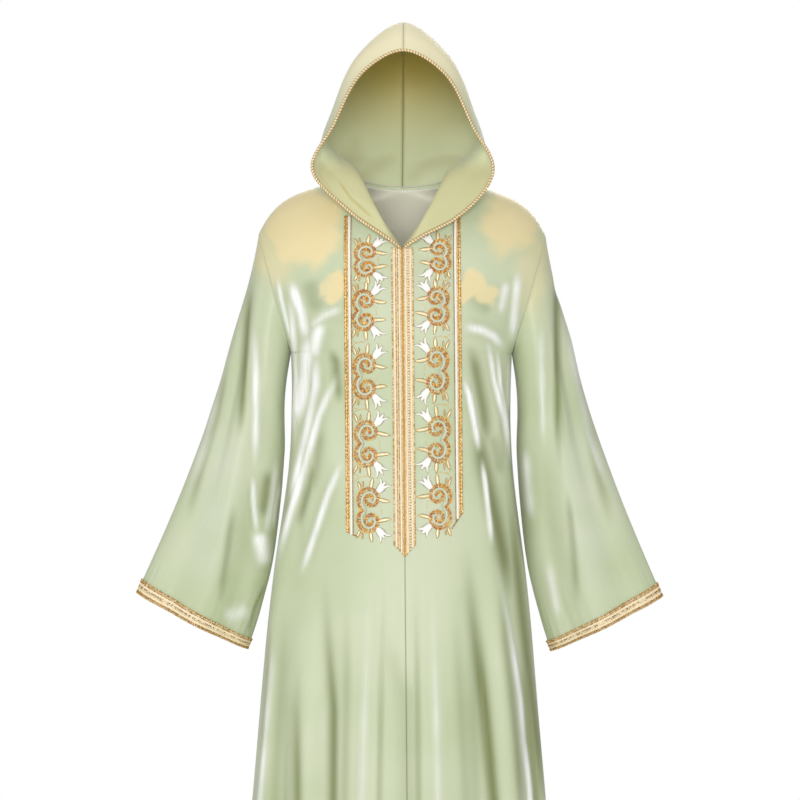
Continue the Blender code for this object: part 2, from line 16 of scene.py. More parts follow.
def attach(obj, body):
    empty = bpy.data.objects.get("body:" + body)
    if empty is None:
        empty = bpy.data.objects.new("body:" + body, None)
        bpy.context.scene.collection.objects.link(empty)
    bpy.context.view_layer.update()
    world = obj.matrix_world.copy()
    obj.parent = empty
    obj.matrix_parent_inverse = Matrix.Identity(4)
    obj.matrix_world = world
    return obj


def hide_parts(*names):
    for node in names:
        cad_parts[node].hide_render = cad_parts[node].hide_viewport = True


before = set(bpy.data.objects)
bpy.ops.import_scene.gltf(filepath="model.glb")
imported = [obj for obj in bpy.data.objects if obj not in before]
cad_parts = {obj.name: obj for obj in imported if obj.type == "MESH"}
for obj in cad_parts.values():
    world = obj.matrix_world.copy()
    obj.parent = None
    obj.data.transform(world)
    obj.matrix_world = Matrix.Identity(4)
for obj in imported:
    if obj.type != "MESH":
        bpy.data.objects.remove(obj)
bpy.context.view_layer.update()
BODY = "root"
SIDE_WORDS = {-1: "left", 1: "right"}
MM = 0.001
MERGE_DISTANCE = 1e-6

# The cut, as in the frame's solids
HEM_HEIGHT = -1.450
HIP_HEIGHT = -0.600
ARMPIT = (0.171, -0.245)
SHOULDER_TIP = (0.222, -0.062)
NECK_POINT = (0.080, 0.028)
V_BOTTOM_HEIGHT = -0.090
BACK_NECK_HEIGHT = 0.012
BACK_NECK_DEPTH = 0.068
ARMHOLE_DEPTH_FRONT = 0.060
ARMHOLE_DEPTH_BACK = 0.066
CENTRE_SEAM_SWING = 0.016
SECTION_ROUNDNESS = 2.3
# Degrees by which the section's quarter turn falls short at the shoulder, and the share
# of the armhole's height where it has fallen that far
SHOULDER_SHORTFALL = 32
SHORTFALL_FULL = 0.4
# How much the columns spread at the hem, and draw together towards the neck point
SKIRT_FLARE = 0.6
NECK_PULL = 0.75
# Powers of the curve that the front neckline makes in depth
NECK_CURVE = (2.2, 0.6)
ARMHOLE_ROWS = 9
FRONT_NECK_ROWS = 5
BACK_NECK_ROWS = 3
SEAM_GAP = 0.0004
SATIN_THICKNESS = 0.0007

# Trims of the front, as in the solids
PLACKET_WIDTH = 0.0165
PLACKET_POINT_HEIGHT = -0.560
BORDER_INNER = 0.0771
BORDER_OUTER = 0.0881
BORDER_TOP_HEIGHT = -0.040
# Heights where each border ends, at its outer and inner edge
BORDER_ENDS = {-1: (-0.516, -0.523), 1: (-0.486, -0.500)}
CUFF_BAND = 0.0165

# How finely the shells are divided
STEPS_PER_ROW = 8
SKIRT_STEPS = 72
WAIST_STEPS = 72
FIELD_STEPS = 40
OUTER_STEPS = 56
BACK_STEPS = 60
SLEEVE_STEPS = 120
HOOD_STEPS = 84

# Columns: height, half width at the side seam
SIDE_LINE = (
    (-1.450, 0.262),
    (-1.100, 0.240),
    (-0.925, 0.225),
    (-0.700, 0.207),
    (-0.585, 0.195),
    (-0.440, 0.175),
    (-0.375, 0.170),
    (-0.300, 0.169),
    (-0.245, 0.171),
)

# Columns: height, depth of the centre front, depth of the centre back
DEPTH_LINE = (
    (-1.450, 0.200, 0.210),
    (-1.100, 0.178, 0.186),
    (-0.925, 0.163, 0.172),
    (-0.700, 0.146, 0.156),
    (-0.585, 0.137, 0.144),
    (-0.440, 0.123, 0.120),
    (-0.375, 0.120, 0.111),
    (-0.300, 0.122, 0.112),
    (-0.245, 0.125, 0.116),
    (-0.165, 0.124, 0.118),
    (-0.090, 0.116, 0.110),
    (-0.030, 0.105, 0.089),
    (0.012, 0.090, 0.068),
)

# Columns: across at the top, top height, across at the bottom, bottom height, width, depth.
# Across is in quarters of the way round: 0 centre front, 1 side seam, 2 centre back.
BODY_FOLDS = (
    (-0.34, -0.56, -0.24, -1.45, 0.065, -0.012),
    (-0.50, -0.52, -0.38, -1.45, 0.075, 0.008),
    (-0.62, -0.66, -0.52, -1.45, 0.060, -0.012),
    (-0.74, -0.40, -0.70, -1.45, 0.090, 0.008),
    (-0.12, -0.66, -0.10, -1.45, 0.070, 0.006),
    (0.13, -0.66, 0.13, -1.45, 0.070, 0.007),
    (0.33, -0.50, 0.36, -1.45, 0.065, -0.015),
    (0.47, -0.42, 0.55, -1.45, 0.075, 0.011),
    (0.68, -0.64, 0.70, -1.45, 0.065, -0.009),
    (0.84, -0.62, 0.85, -1.45, 0.080, 0.006),
    (-0.62, -0.12, -0.32, -0.52, 0.070, 0.005),
    (-0.80, -0.20, -0.56, -0.62, 0.060, -0.004),
    (0.30, -0.27, 0.60, -0.62, 0.060, 0.005),
    (0.62, -0.12, 0.66, -0.50, 0.070, 0.005),
    (1.18, -0.55, 1.16, -1.45, 0.080, -0.010),
    (1.36, -0.32, 1.33, -1.45, 0.090, 0.011),
    (1.56, -0.50, 1.52, -1.45, 0.070, -0.013),
    (1.74, -0.38, 1.72, -1.45, 0.080, 0.010),
    (1.93, -0.60, 1.90, -1.45, 0.070, -0.008),
    (-1.16, -0.60, -1.14, -1.45, 0.080, -0.010),
    (-1.33, -0.36, -1.30, -1.45, 0.085, 0.012),
    (-1.52, -0.46, -1.50, -1.45, 0.070, -0.012),
    (-1.72, -0.34, -1.68, -1.45, 0.085, 0.010),
    (-1.90, -0.56, -1.86, -1.45, 0.065, -0.009),
)
# Heights over which a fold dies out, starts, and gives way above the armpit
FOLD_FADE = 0.16
FOLD_START = 0.35
FOLD_TOP = 0.12

# Columns: way down the sleeve, outer edge across and height, under edge across and
# height, half depth, how far the middle lies back
SLEEVE_SECTIONS = (
    (0.00, 0.222, -0.062, 0.171, -0.245, 0.060, 0.003),
    (0.15, 0.238, -0.125, 0.1765, -0.310, 0.060, 0.004),
    (0.35, 0.264, -0.228, 0.180, -0.400, 0.056, 0.006),
    (0.55, 0.294, -0.336, 0.187, -0.490, 0.053, 0.006),
    (0.75, 0.336, -0.452, 0.1985, -0.576, 0.052, 0.004),
    (0.90, 0.3755, -0.548, 0.2175, -0.650, 0.050, 0.002),
    (1.00, 0.4065, -0.620, 0.2365, -0.705, 0.048, 0.000),
)
SLEEVE_SET_IN = 0.35
SLEEVE_LENGTH = 0.56
SLEEVE_FULLNESS = 0.25
SLEEVE_FOLD_START = 0.3
SLEEVE_CREASE_START = (0.02, 0.12)
# Degrees from the underarm between which the sleeve turns to lie along the body
UNDERARM_TURN = (25.0, 65.0)

# Gathers above the cuff braid: degrees round the cuff, and ranges of each gather
GATHER_ENDS = (4.0, 356.0)
GATHER_SPACES = (7.0, 13.0)
GATHER_LENGTHS = (0.05, 0.15)
GATHER_DEPTHS = (0.0006, 0.0016)
GATHER_WIDTHS = (2.2, 4.0)
GATHER_LEANS = (-12.0, 12.0)

# Columns: angle at the top and bottom (0 outer edge, 90 front, 180 under, 270 back),
# way down where it starts and ends, width in degrees, depth
SLEEVE_FOLDS = (
    (40.0, 66.0, 0.12, 0.98, 15.0, -0.0070),
    (62.0, 96.0, 0.22, 1.00, 16.0, 0.0055),
    (112.0, 128.0, 0.40, 1.00, 14.0, -0.0050),
    (300.0, 288.0, 0.10, 1.00, 18.0, -0.0070),
    (268.0, 252.0, 0.25, 1.00, 18.0, 0.0060),
    (232.0, 226.0, 0.45, 1.00, 14.0, -0.0050),
)

# A row for each rib of a hood half. Columns: way back along the neckline, then the roll
# over the neckline, lapel, widest place, temple, brow and crown.
HOOD_RIBS = (
    (0.00, (0.020, -0.1275, -0.0735), (0.076, -0.113, -0.034), (0.136, -0.093, 0.031),
     (0.106, -0.088, 0.100), (0.064, -0.088, 0.179), (0.000, -0.082, 0.2155)),
    (0.22, (0.042, -0.1190, -0.026), (0.082, -0.104, 0.002), (0.128, -0.070, 0.048),
     (0.110, -0.062, 0.112), (0.070, -0.054, 0.204), (0.000, -0.042, 0.2475)),
    (0.45, (0.069, -0.0740, 0.030), (0.096, -0.064, 0.046), (0.122, -0.037, 0.076),
     (0.110, -0.024, 0.126), (0.070, -0.010, 0.215), (0.000, 0.002, 0.2680)),
    (0.70, (0.086, 0.0260, 0.052), (0.100, 0.034, 0.070), (0.106, 0.050, 0.098),
     (0.098, 0.062, 0.140), (0.062, 0.068, 0.217), (0.000, 0.064, 0.2660)),
    (1.00, (0.000, 0.0820, 0.036), (0.000, 0.100, 0.065), (0.000, 0.122, 0.105),
     (0.000, 0.134, 0.150), (0.000, 0.132, 0.199), (0.000, 0.118, 0.2320)),
)
RIB_PLACES = (0.00, 0.07, 0.22, 0.42, 0.62, 0.84, 1.00)
HEAD_MIDDLE = (0.0, 0.0, 0.10)
RIGHT_LAPEL_DROP = 0.011
LAPEL_PLACE = 0.27
LAPEL_SPREAD = 0.13
LAPEL_DEPTH_BACK = 0.35
# Heights and depths between which the lapels' shade fades out
LAPEL_TOP = (0.02, 0.07)
LAPEL_BACK = (-0.06, 0.02)

# Creases of the front, in millimetres seen from the front: width, height (out is +), how
# strong the painted silver-white highlight along the ridge is, then the crease's line as
# (across, height). Troughs and the sides of ridges with a highlight get painted shade.
FRONT_CREASES = (
    (4.0, 1.6, 0.80, ((-171, -144), (-166, -209), (-161, -287), (-164, -346), (-167, -405))),
    (2.6, 1.4, 0.80, ((-190, -128), (-184, -165), (-175, -200), (-165, -244))),
    (5.5, 1.5, 0.90, ((-170, -132), (-162, -160), (-153, -186), (-144, -234))),
    (6.5, 1.5, 0.90, ((-120, -198), (-128, -222), (-135, -262))),
    (8.0, 2.4, 1.00, ((-140, -209), (-147, -284), (-157, -333), (-161, -369))),
    (5.0, 2.0, 0.85, ((-130, -231), (-130, -298), (-144, -369), (-160, -440), (-174, -502))),
    (4.0, 2.2, 1.00, ((-91, -270), (-110, -310), (-124, -341), (-144, -412), (-171, -502),
                      (-181, -539), (-194, -591))),
    (3.5, 1.8, 0.90, ((-85, -405), (-95, -426), (-110, -463), (-126, -513), (-152, -591))),
    (4.5, 1.4, 0.50, ((-142, -212), (-117, -191), (-86, -178))),
    (3.5, 2.2, 0.55, ((-194, -612), (-194, -728), (-203, -845), (-211, -933), (-222, -1100),
                      (-240, -1440))),
    (5.0, 1.4, 0.70, ((177, -117), (174, -160), (171, -198), (169, -235))),
    (5.0, 1.2, 0.60, ((160, -134), (154, -165), (149, -190))),
    (5.0, 1.6, 0.75, ((90, -205), (123, -212), (141, -221), (160, -242))),
    (3.0, 2.0, 1.00, ((130, -222), (137, -260), (141, -285), (158, -346), (167, -405))),
    (2.4, 1.8, 0.80, ((146, -232), (151, -293), (162, -346), (169, -420))),
    (4.0, 1.2, 0.50, ((166, -240), (166, -300), (165, -350))),
    (3.0, 2.2, 1.00, ((91, -278), (103, -310), (110, -346), (120, -400))),
    (2.6, 2.4, 0.90, ((122, -400), (128, -440), (134, -491), (140, -545))),
    (3.4, 2.4, 0.85, ((140, -535), (146, -563), (157, -616), (166, -659), (178, -733),
                      (184, -771), (189, -835), (199, -904), (212, -1100), (232, -1440))),
    (3.0, -2.0, 0.00, ((163, -616), (172, -659), (185, -733), (192, -771), (198, -835),
                       (207, -904), (222, -1100), (242, -1440))),
    (7.0, -3.0, 0.00, ((98, -520), (110, -628), (128, -780), (144, -936), (165, -1440))),
    (6.0, -2.4, 0.00, ((-116, -560), (-108, -680), (-99, -784), (-99, -922), (-95, -1440))),
    (6.0, -2.2, 0.00, ((-150, -690), (-155, -784), (-152, -922), (-165, -1440))),
    (6.0, -2.0, 0.00, ((-112, -236), (-100, -262), (-94, -330))),
    (7.0, -2.2, 0.00, ((100, -225), (112, -262), (126, -330), (136, -400))),
    (5.0, -1.8, 0.00, ((-128, -400), (-140, -452), (-160, -520))),
    (5.0, 1.4, 0.30, ((48, -575), (54, -700), (60, -930), (70, -1440))),
    (5.0, 1.2, 0.25, ((-46, -575), (-50, -700), (-56, -930), (-60, -1440))),
    (4.0, -1.4, 0.00, ((24, -570), (27, -700), (30, -930), (36, -1440))),
    (4.0, -1.2, 0.00, ((-22, -572), (-26, -700), (-28, -930), (-28, -1440))),
)
# Shares of a crease's length over which it starts and ends, unless it reaches the hem
CREASE_START = 0.28
CREASE_END = 0.30
HEM_REACHED = -1400
# How far the painted highlight of a ridge and the painted shade beside it reach, how strong
# they are, and how the painted highlight comes and goes along a ridge
SHEEN_SPREAD = 1.3
SHEEN_GAIN = 1.3
SHEEN_SWING = 0.20
SHEEN_WAVES = (61, 23)
EDGE_SPREAD = 2.1
EDGE_SHADE = 0.42
TROUGH_SHADE = 2.6

# Creases of the sleeves and the back, as seen through from the front
SLEEVE_CREASES = {
    -1: ((5.0, -2.4, 0.00, ((-231, -122), (-239, -198), (-245, -333), (-248, -392))),
         (4.0, 1.8, 0.70, ((-226, -200), (-223, -273), (-222, -350), (-222, -439))),
         (8.0, 1.4, 0.90, ((-218, -518), (-212, -548), (-206, -582))),
         (3.2, 1.4, 0.80, ((-226, -430), (-225, -480), (-219, -530))),
         (3.0, 1.2, 0.55, ((-184, -440), (-192, -480), (-197, -525))),
         (9.0, -2.0, 0.00, ((-198, -420), (-205, -465), (-210, -512))),
         (9.0, 1.0, 0.38, ((-274, -654), (-250, -648), (-226, -640))),
         (2.4, -1.4, 0.00, ((-205, -600), (-222, -640), (-234, -685))),
         (24.0, 0.4, 0.15, ((-262, -330), (-280, -450), (-296, -560), (-296, -640))),
         (6.0, -1.6, 0.00, ((-268, -240), (-285, -340), (-312, -440), (-330, -520))),
         (6.0, 1.4, 0.30, ((-262, -160), (-280, -270), (-300, -380), (-335, -490))),
         (5.0, -1.6, 0.00, ((-252, -470), (-264, -560), (-276, -640))),
         (4.0, 1.2, 0.45, ((-188, -400), (-196, -470), (-208, -540)))),
    1: ((5.0, -2.4, 0.00, ((239, -70), (240, -209), (241, -330), (243, -442))),
        (6.0, 1.4, 0.60, ((190, -380), (194, -437), (203, -512))),
        (22.0, 0.4, 0.15, ((262, -330), (278, -450), (292, -560), (292, -640))),
        (4.0, 1.2, 0.40, ((214, -190), (216, -290), (218, -400))),
        (7.0, -1.6, 0.00, ((262, -200), (282, -320), (306, -430), (330, -530))),
        (6.0, 1.4, 0.35, ((250, -130), (268, -250), (292, -370), (330, -480))),
        (5.0, -1.6, 0.00, ((254, -440), (264, -540), (272, -640))),
        (5.0, 1.2, 0.40, ((226, -560), (236, -610), (246, -660)))),
}
BACK_CREASES = (
    (7.0, 1.8, 0.40, ((-150, -210), (-144, -290), (-150, -370), (-168, -460))),
    (5.0, 1.6, 0.30, ((-112, -170), (-122, -250), (-114, -330), (-126, -400))),
    (7.0, -2.4, 0.00, ((-84, -360), (-96, -480), (-104, -700), (-112, -980))),
    (7.0, 2.2, 0.42, ((-58, -430), (-72, -600), (-76, -820), (-84, -1080))),
    (6.0, -2.2, 0.00, ((-24, -480), (-28, -700), (-34, -1000), (-40, -1440))),
    (5.0, 1.6, 0.22, ((12, -330), (8, -460), (14, -640), (12, -820))),
    (7.0, -2.4, 0.00, ((52, -400), (60, -600), (68, -900), (80, -1440))),
    (8.0, 2.2, 0.38, ((96, -360), (104, -520), (116, -700), (120, -860))),
    (6.0, 2.0, 0.34, ((122, -820), (134, -1020), (146, -1440))),
    (5.0, 1.6, 0.36, ((126, -200), (136, -280), (128, -360), (138, -440))),
    (6.0, -2.2, 0.00, ((150, -380), (160, -560), (176, -800), (190, -1180))),
    (7.0, 1.8, 0.32, ((168, -270), (162, -350), (172, -480), (190, -640))),
    (6.0, -1.8, 0.00, ((-140, -620), (-152, -820), (-170, -1100), (-186, -1440))),
    (7.0, 1.8, 0.36, ((-176, -560), (-188, -740), (-200, -940))),
    (6.0, 1.6, 0.26, ((-110, -1000), (-120, -1180), (-132, -1440))),
)

# Shaded folds of the lapels, seen from the front: width, strength, then the line
LAPEL_FOLDS = (
    (13.0, 0.50, ((86, 44), (92, 14), (106, -10), (124, -28))),
    (5.0, 0.75, ((-104, 34), (-96, 12), (-78, -14), (-56, -34), (-26, -60))),
    (7.0, 0.60, ((-128, 46), (-126, 22), (-110, 0), (-92, -20))),
    (4.0, 0.50, ((-84, 20), (-70, -8), (-48, -32))),
    (4.0, 0.50, ((80, -4), (64, -16), (40, -40), (16, -58))),
    (4.0, 0.50, ((132, 40), (122, 12), (98, -12), (66, -28))),
)

# Shaded folds inside the back of the hood, the same columns
HOOD_FOLDS = (
    (18.0, 0.24, ((-56, 190), (-70, 130), (-80, 60), (-86, 10))),
    (12.0, 0.20, ((-96, 10), (-62, 34), (-30, 58), (6, 76))),
    (13.0, 0.20, ((-6, 16), (32, 46), (62, 58), (108, 46))),
)

# Bands of painted shade on the front: width in millimetres, strength, then the line as
# (across, height)
PAINTED_SHADE_BANDS = (
    (9.0, 0.90, ((170, -200), (171, -330), (176, -420), (186, -520), (200, -640))),
    (13.0, 1.00, ((112, -330), (124, -410), (138, -470), (156, -550), (170, -640))),
    (10.0, 0.45, ((136, -360), (146, -400), (152, -440))),
    (14.0, 0.45, ((-142, -130), (-134, -170), (-118, -190))),
    (9.0, 0.85, ((184, -640), (192, -733), (199, -800), (208, -904), (224, -1100))),
    (16.0, 0.30, ((-40, -640), (10, -760), (20, -1100))),
    (9.0, 0.40, ((-196, -640), (-200, -760), (-210, -900))),
    (10.0, 0.95, ((166, -420), (178, -560), (194, -700), (212, -840), (226, -1000))),
    (7.0, 0.55, ((150, -560), (160, -680), (178, -840), (190, -1000))),
    (10.0, 0.60, ((-150, -250), (-140, -290), (-128, -320))),
    (9.0, 0.45, ((-142, -300), (-134, -350), (-146, -410))),
    (8.0, 0.50, ((-165, -430), (-172, -480), (-186, -560))),
    (8.0, 0.45, ((-120, -350), (-128, -420), (-138, -470))),
    (10.0, 0.40, ((-172, -600), (-178, -740), (-186, -900), (-196, -1200))),
    (7.0, 0.35, ((-80, -590), (-78, -720), (-80, -900), (-84, -1200))),
    (8.0, 0.30, ((80, -600), (90, -740), (100, -900), (110, -1200))),
    (12.0, 0.35, ((100, -150), (118, -170), (140, -185))),
)

# Cream patches of the shoulders and upper chest, in millimetres seen from the front:
# across, height, half width, half height, turn in degrees, how soft the edge is, strength,
# and how far back it goes
CREAM_PATCHES = (
    (-152, -50, 60, 68, 20, 0.20, 1.00, 90),
    (-196, -80, 44, 56, 0, 0.40, 0.60, 90),
    (-99, -150, 16, 24, 12, 0.18, 1.00, 0),
    (-112, -140, 14, 16, -30, 0.25, 0.80, 0),
    (170, -34, 46, 62, -18, 0.30, 0.95, 90),
    (205, -110, 26, 70, -8, 0.60, 0.45, 90),
    (104, -148, 20, 24, -26, 0.20, 1.00, 0),
    (126, -156, 22, 16, 10, 0.25, 0.90, 0),
)
# Waves of the patches' edges, sideways and up: size, waves across and up, start
PATCH_WAVES = (
    ((5, 0, 110, 1.2), (2, 90, 260, 0.0)),
    ((6, 95, 0, 0.6), (2, 230, -110, 0.0)),
)

# Heights between which the inside of the hood deepens with painted shade, and its outside turns
# pale cream towards the crown
HOOD_SHADE_FROM = 0.05
HOOD_SHADE_TO = 0.23

# Colours
SAGE_HEX = "CAD2B2"
SAGE_DEEP_HEX = "BCC8A0"
CREAM_HEX = "E9D9A6"
# Painted silver-white highlight along the ridges of the creases
PAINTED_SHEEN_HEX = "FFFFFF"
# Wrong side of the dress's organza: its pale colour raised to near white, painted light
# standing in for light through the thin cloth
INSIDE_HEX = "FFFDE8"
HOOD_INSIDE_HEX = "EAF2CC"
# Painted shade inside the hood, deepest under the crown
HOOD_SHADE_HEX = "B3A04C"
# Painted shade of the dress: its troughs, the sides of its ridges and its shade bands
PAINTED_SHADE_HEX = "7E8656"
CROWN_HEX = "F8EFC6"
# How much painted shade the lapels get, of the hood's deepest
LAPEL_SHARE = 0.52
GOLD_STOPS = ((0.0, "7A4C18"), (0.3, "B5802F"), (0.6, "D8B064"), (1.0, "F5E9C8"))
COPPER_STOPS = ((0.0, "BC650A"), (0.3, "EE9C18"), (0.6, "FFCE55"), (1.0, "FFF5D2"))

# Braids and cords of the trims, in millimetres. Cords: distance from the seam or edge,
# half width, half height, tone, or None for satin. Beads: distance, pitch, length,
# thickness, lean, tones. Lifts: of the cords and of the beads, in metres.
BEAD_SLIP = 12
BEAD_LENGTHS = (0.8, 1.2)
BEAD_THICKNESSES = (0.85, 1.15)
BEAD_SHADE = 0.05
COLUMN_STEP = 0.003
PLACKET_LIFTS = (0.0012, 0.0018)
PLACKET_TOP = 0.002
# The scene's own foot of the placket, a few millimetres above the solids' foot
PLACKET_FOOT_SIDE = -0.534
PLACKET_FOOT_POINT = -0.553
PLACKET_CORDS = (
    (1.8, 1.8, 0.5, None),
    (5.0, 1.9, 0.5, None),
    (8.3, 1.9, 0.5, None),
    (11.6, 1.9, 0.5, None),
    (14.8, 1.8, 0.5, None),
    (12.2, 1.5, 1.2, None),
    (4.8, 1.5, 1.2, None),
    (0.7, 0.8, 1.0, 0.52),
)
PLACKET_OUTER_BEADS = (
    (15.6, 2.0, 3.0, 1.9, 40, (0.45, 0.65, 0.95)),
    (12.2, 1.8, 1.7, 1.2, 45, (0.80, 1.00)),
    (4.8, 1.8, 1.7, 1.2, -45, (0.80, 1.00)),
)
PLACKET_SEAM_BEADS = (1.5, 1.9, 2.4, 1.5, -40, (0.35, 0.55, 0.75))
PLACKET_BEADS = {
    -1: (*PLACKET_OUTER_BEADS,
         (14.0, 2.3, 1.5, 1.1, 10, (0.50, 0.80)),
         (9.9, 2.0, 2.4, 1.7, 25, (0.30, 0.50, 0.70)),
         (8.4, 4.0, 1.8, 1.8, 0, (1.00,)),
         (7.1, 2.1, 2.4, 1.7, -25, (0.20, 0.50, 0.70)),
         (3.2, 2.3, 1.6, 1.1, 10, (0.50, 0.80)), PLACKET_SEAM_BEADS),
    1: (*PLACKET_OUTER_BEADS,
        (13.8, 2.3, 1.5, 1.1, 10, (0.50, 0.80)),
        (8.5, 4.2, 2.4, 2.0, 0, (0.10, 0.25, 0.40)),
        (6.8, 2.0, 1.8, 1.2, 15, (0.60, 0.95)),
        (10.2, 2.0, 1.8, 1.2, -15, (0.60, 0.95)),
        (3.4, 2.3, 1.6, 1.1, 10, (0.50, 0.80)), PLACKET_SEAM_BEADS),
}
PLACKET_FOOT_BEADS = (1.6, 2.2, 1.3, 40, (0.35, 0.60))
BORDER_LIFTS = (0.0010, 0.0013)
# Inner end of the slanted bead row under a border: distance from the seam, height
BORDER_SLANTS = {-1: (0.0700, -0.5245), 1: (0.0710, -0.5110)}
BORDER_CORDS = (
    (83.5, 1.6, 0.6, 0.62),
    (86.4, 1.6, 0.6, 0.62),
    (79.9, 2.2, 1.3, None),
)
BORDER_BEADS = (
    (87.0, 2.1, 3.0, 1.9, 42, (0.35, 0.55, 0.90)),
    (84.9, 5.6, 2.4, 2.0, 20, (0.00, 0.10, 0.20)),
    (82.9, 2.1, 2.4, 1.6, -42, (0.40, 0.60, 0.90)),
    (77.2, 1.7, 1.9, 1.1, 10, (0.10, 0.25, 0.40)),
)
BORDER_SLANT_BEADS = (1.8, 2.8, 1.7, 35, (0.30, 0.50))
# Share of the sleeve's length that the cuff band takes
CUFF_BAND_SHARE = 0.0295
CUFF_STEPS = 180
CUFF_LIFTS = (0.0012, 0.0020)
CUFF_CORDS = (
    (8.2, 8.2, 0.5, None),
    (11.0, 1.3, 1.3, None),
    (5.0, 1.3, 1.3, None),
)
CUFF_BEADS = (
    (15.6, 2.1, 2.9, 1.9, 40, (0.35, 0.55, 0.80)),
    (13.3, 2.1, 2.6, 1.7, -40, (0.25, 0.45, 0.70)),
    (8.9, 2.2, 2.2, 1.6, 20, (0.05, 0.30, 0.95)),
    (7.1, 2.2, 2.2, 1.6, -20, (0.60, 0.85, 0.95)),
    (2.9, 2.0, 2.6, 1.7, 35, (0.25, 0.50)),
    (1.0, 2.0, 2.6, 1.8, -35, (0.50, 0.75)),
)

# Binding of the back neck and seam allowances inside the hood
BINDING_FROM = 0.52
BINDING_IN = 0.0018
BINDING_WIDE = 0.0016
BINDING_HIGH = 0.0012
BACK_FOLD_WIDE = 0.0006
CROWN_FOLD_WIDE = 0.0028
SEAM_FOLD_HIGH = 0.0008

# Rope round the face edge
ROPE_TONES = (1.00, 0.84, 0.40)
ROPE_PITCH = 0.0046
ROPE_STRAND = 0.00125
ROPE_STRAND_OFFSET = 0.0013
ROPE_OUT = 0.0024
ROPE_IN = 0.0004
ROPE_STEP = 0.0006

# Pairs of scrolls down each side, in millimetres: across, height of the upper and lower
# scroll, size across, size up
SCROLL_PAIRS = {
    -1: ((-56.6, -94.1, -120.0, 0.98, 0.86),
         (-58.9, -167.3, -200.0, 0.98, 1.00),
         (-56.7, -264.6, -301.0, 1.03, 1.12),
         (-53.6, -365.8, -403.1, 1.03, 1.12),
         (-49.2, -466.0, -502.1, 1.00, 1.08)),
    1: ((58.7, -88.3, -113.8, 0.94, 0.88),
        (55.7, -161.7, -191.4, 0.98, 0.98),
        (55.7, -254.6, -292.2, 0.99, 1.14),
        (58.7, -358.4, -396.1, 1.00, 1.12),
        (61.1, -459.8, -496.3, 1.00, 1.08)),
}
SCROLL_MIDDLE = (5.0, -1.4)

# Columns: angle round the middle of a scroll, from its notch inwards, then the distance
# of the bead band and of the pale cord from that middle, and the band's half width
SCROLL_COIL = (
    (-400.0, 0.6, 2.2, 1.5),
    (-360.0, 1.9, 2.6, 1.9),
    (-315.0, 3.2, 3.0, 2.1),
    (-270.0, 4.6, 3.2, 2.2),
    (-225.0, 6.2, 3.2, 2.4),
    (-180.0, 7.6, 3.2, 2.6),
    (-135.0, 8.2, 3.2, 2.8),
    (-90.0, 8.7, 4.4, 2.9),
    (-45.0, 9.4, 5.4, 3.0),
    (0.0, 10.3, 6.4, 3.1),
    (45.0, 11.6, 7.4, 3.2),
    (90.0, 13.6, 9.0, 3.3),
    (135.0, 16.0, 11.2, 3.4),
    (180.0, 18.0, 13.0, 3.4),
    (205.0, 18.7, 14.8, 3.2),
    (226.0, 18.3, 15.4, 3.0),
)
SCROLL_STEP = 5.0
BAND_NOTCH = -6.4
CORD_NOTCH = -2.8
CORD_END = -110.0
CORD_WIDE = 2.3
BAND_END = -396.0
# Outer and inner bead row of the band, by its spread from the middle of the band
BAND_ROWS = (
    (0.5, (2.1, 3.6, 1.9, 90, (0.02, 0.14, 0.28, 0.58))),
    (-0.5, (2.1, 3.6, 1.9, 90, (0.10, 0.28, 0.46, 0.86))),
)
FAN_END = 120.0
FAN_SPREAD = 1.25
FAN_BEADS = (1.8, 3.0, 1.0, 90, (0.60, 0.75, 0.90))

# Petals of a tulip, in millimetres and degrees: sideways, aim, length, bend, half width,
# how pointed
PETAL_STEPS = 14
TULIP_BASE = (14.8, 8.2)
TULIP_PETALS = (
    (-2.5, 46, 24, -72, 2.3, 0.70),
    (2.5, 50, 21, 76, 2.3, 0.70),
    (0.0, 48, 20, 0, 3.0, 0.60),
    (0.0, 48, 14, 0, 4.9, 0.25),
)

# Leaves beside a scroll: base, aim, length, bend, half width, tone
LEAVES = (
    ((15.6, -1.0), -14, 20, 22, 3.1, 0.90),
    ((4.6, 13.5), 86, 15, -12, 2.9, 0.84),
    ((-11.5, 12.0), 108, 12, 18, 2.2, 0.80),
    ((-7.5, 15.0), 92, 8, -10, 1.1, 0.62),
)
RIB_LINE = ((16.6, -1.2), -14, 20, 22)
RIB_BEADS = (1.8, 1.6, 1.1, 60, (0.55, 0.85, 1.00))
VINE_BEADS = (1.7, 1.7, 1.0, 20, (0.55, 0.75, 0.95))
# The vine of a pair, drawn for scrolls this far from the pair's middle
VINE_GAP = 17.0
VINE = ((17.5, 15.0), (20.5, 11.0), (21.5, 6.0), (20.5, 3.0), (21.5, 0.0))
PEARLS = ((15.6, -0.8), (14.2, 8.2), (20.8, -7.0))
PEARL_SIZE = 0.0023
# Y-shaped sprig between two pairs
SPRIG_BEADS = (1.6, 1.8, 0.9, 10, (0.35, 0.50, 0.70))
SPRIG = (
    ((-19.0, 5.0), (-14.0, 2.0), (-8.0, 0.0), (-2.0, 1.5), (3.5, 1.0)),
    ((-18.0, -7.0), (-13.0, -2.0), (-8.0, 0.0)),
)
EMBROIDERY_NAMES = {"beads": "scroll_beads", "cord": "scroll_cord", "tulips": "tulips",
                    "edges": "tulip_edges", "leaves": "leaves"}

# Grid that the embroidery is laid on: from, to and step, across and up
SURFACE_ACROSS = (-0.118, 0.1225, 0.001)
SURFACE_HEIGHTS = (-0.600, -0.0240, 0.0015)

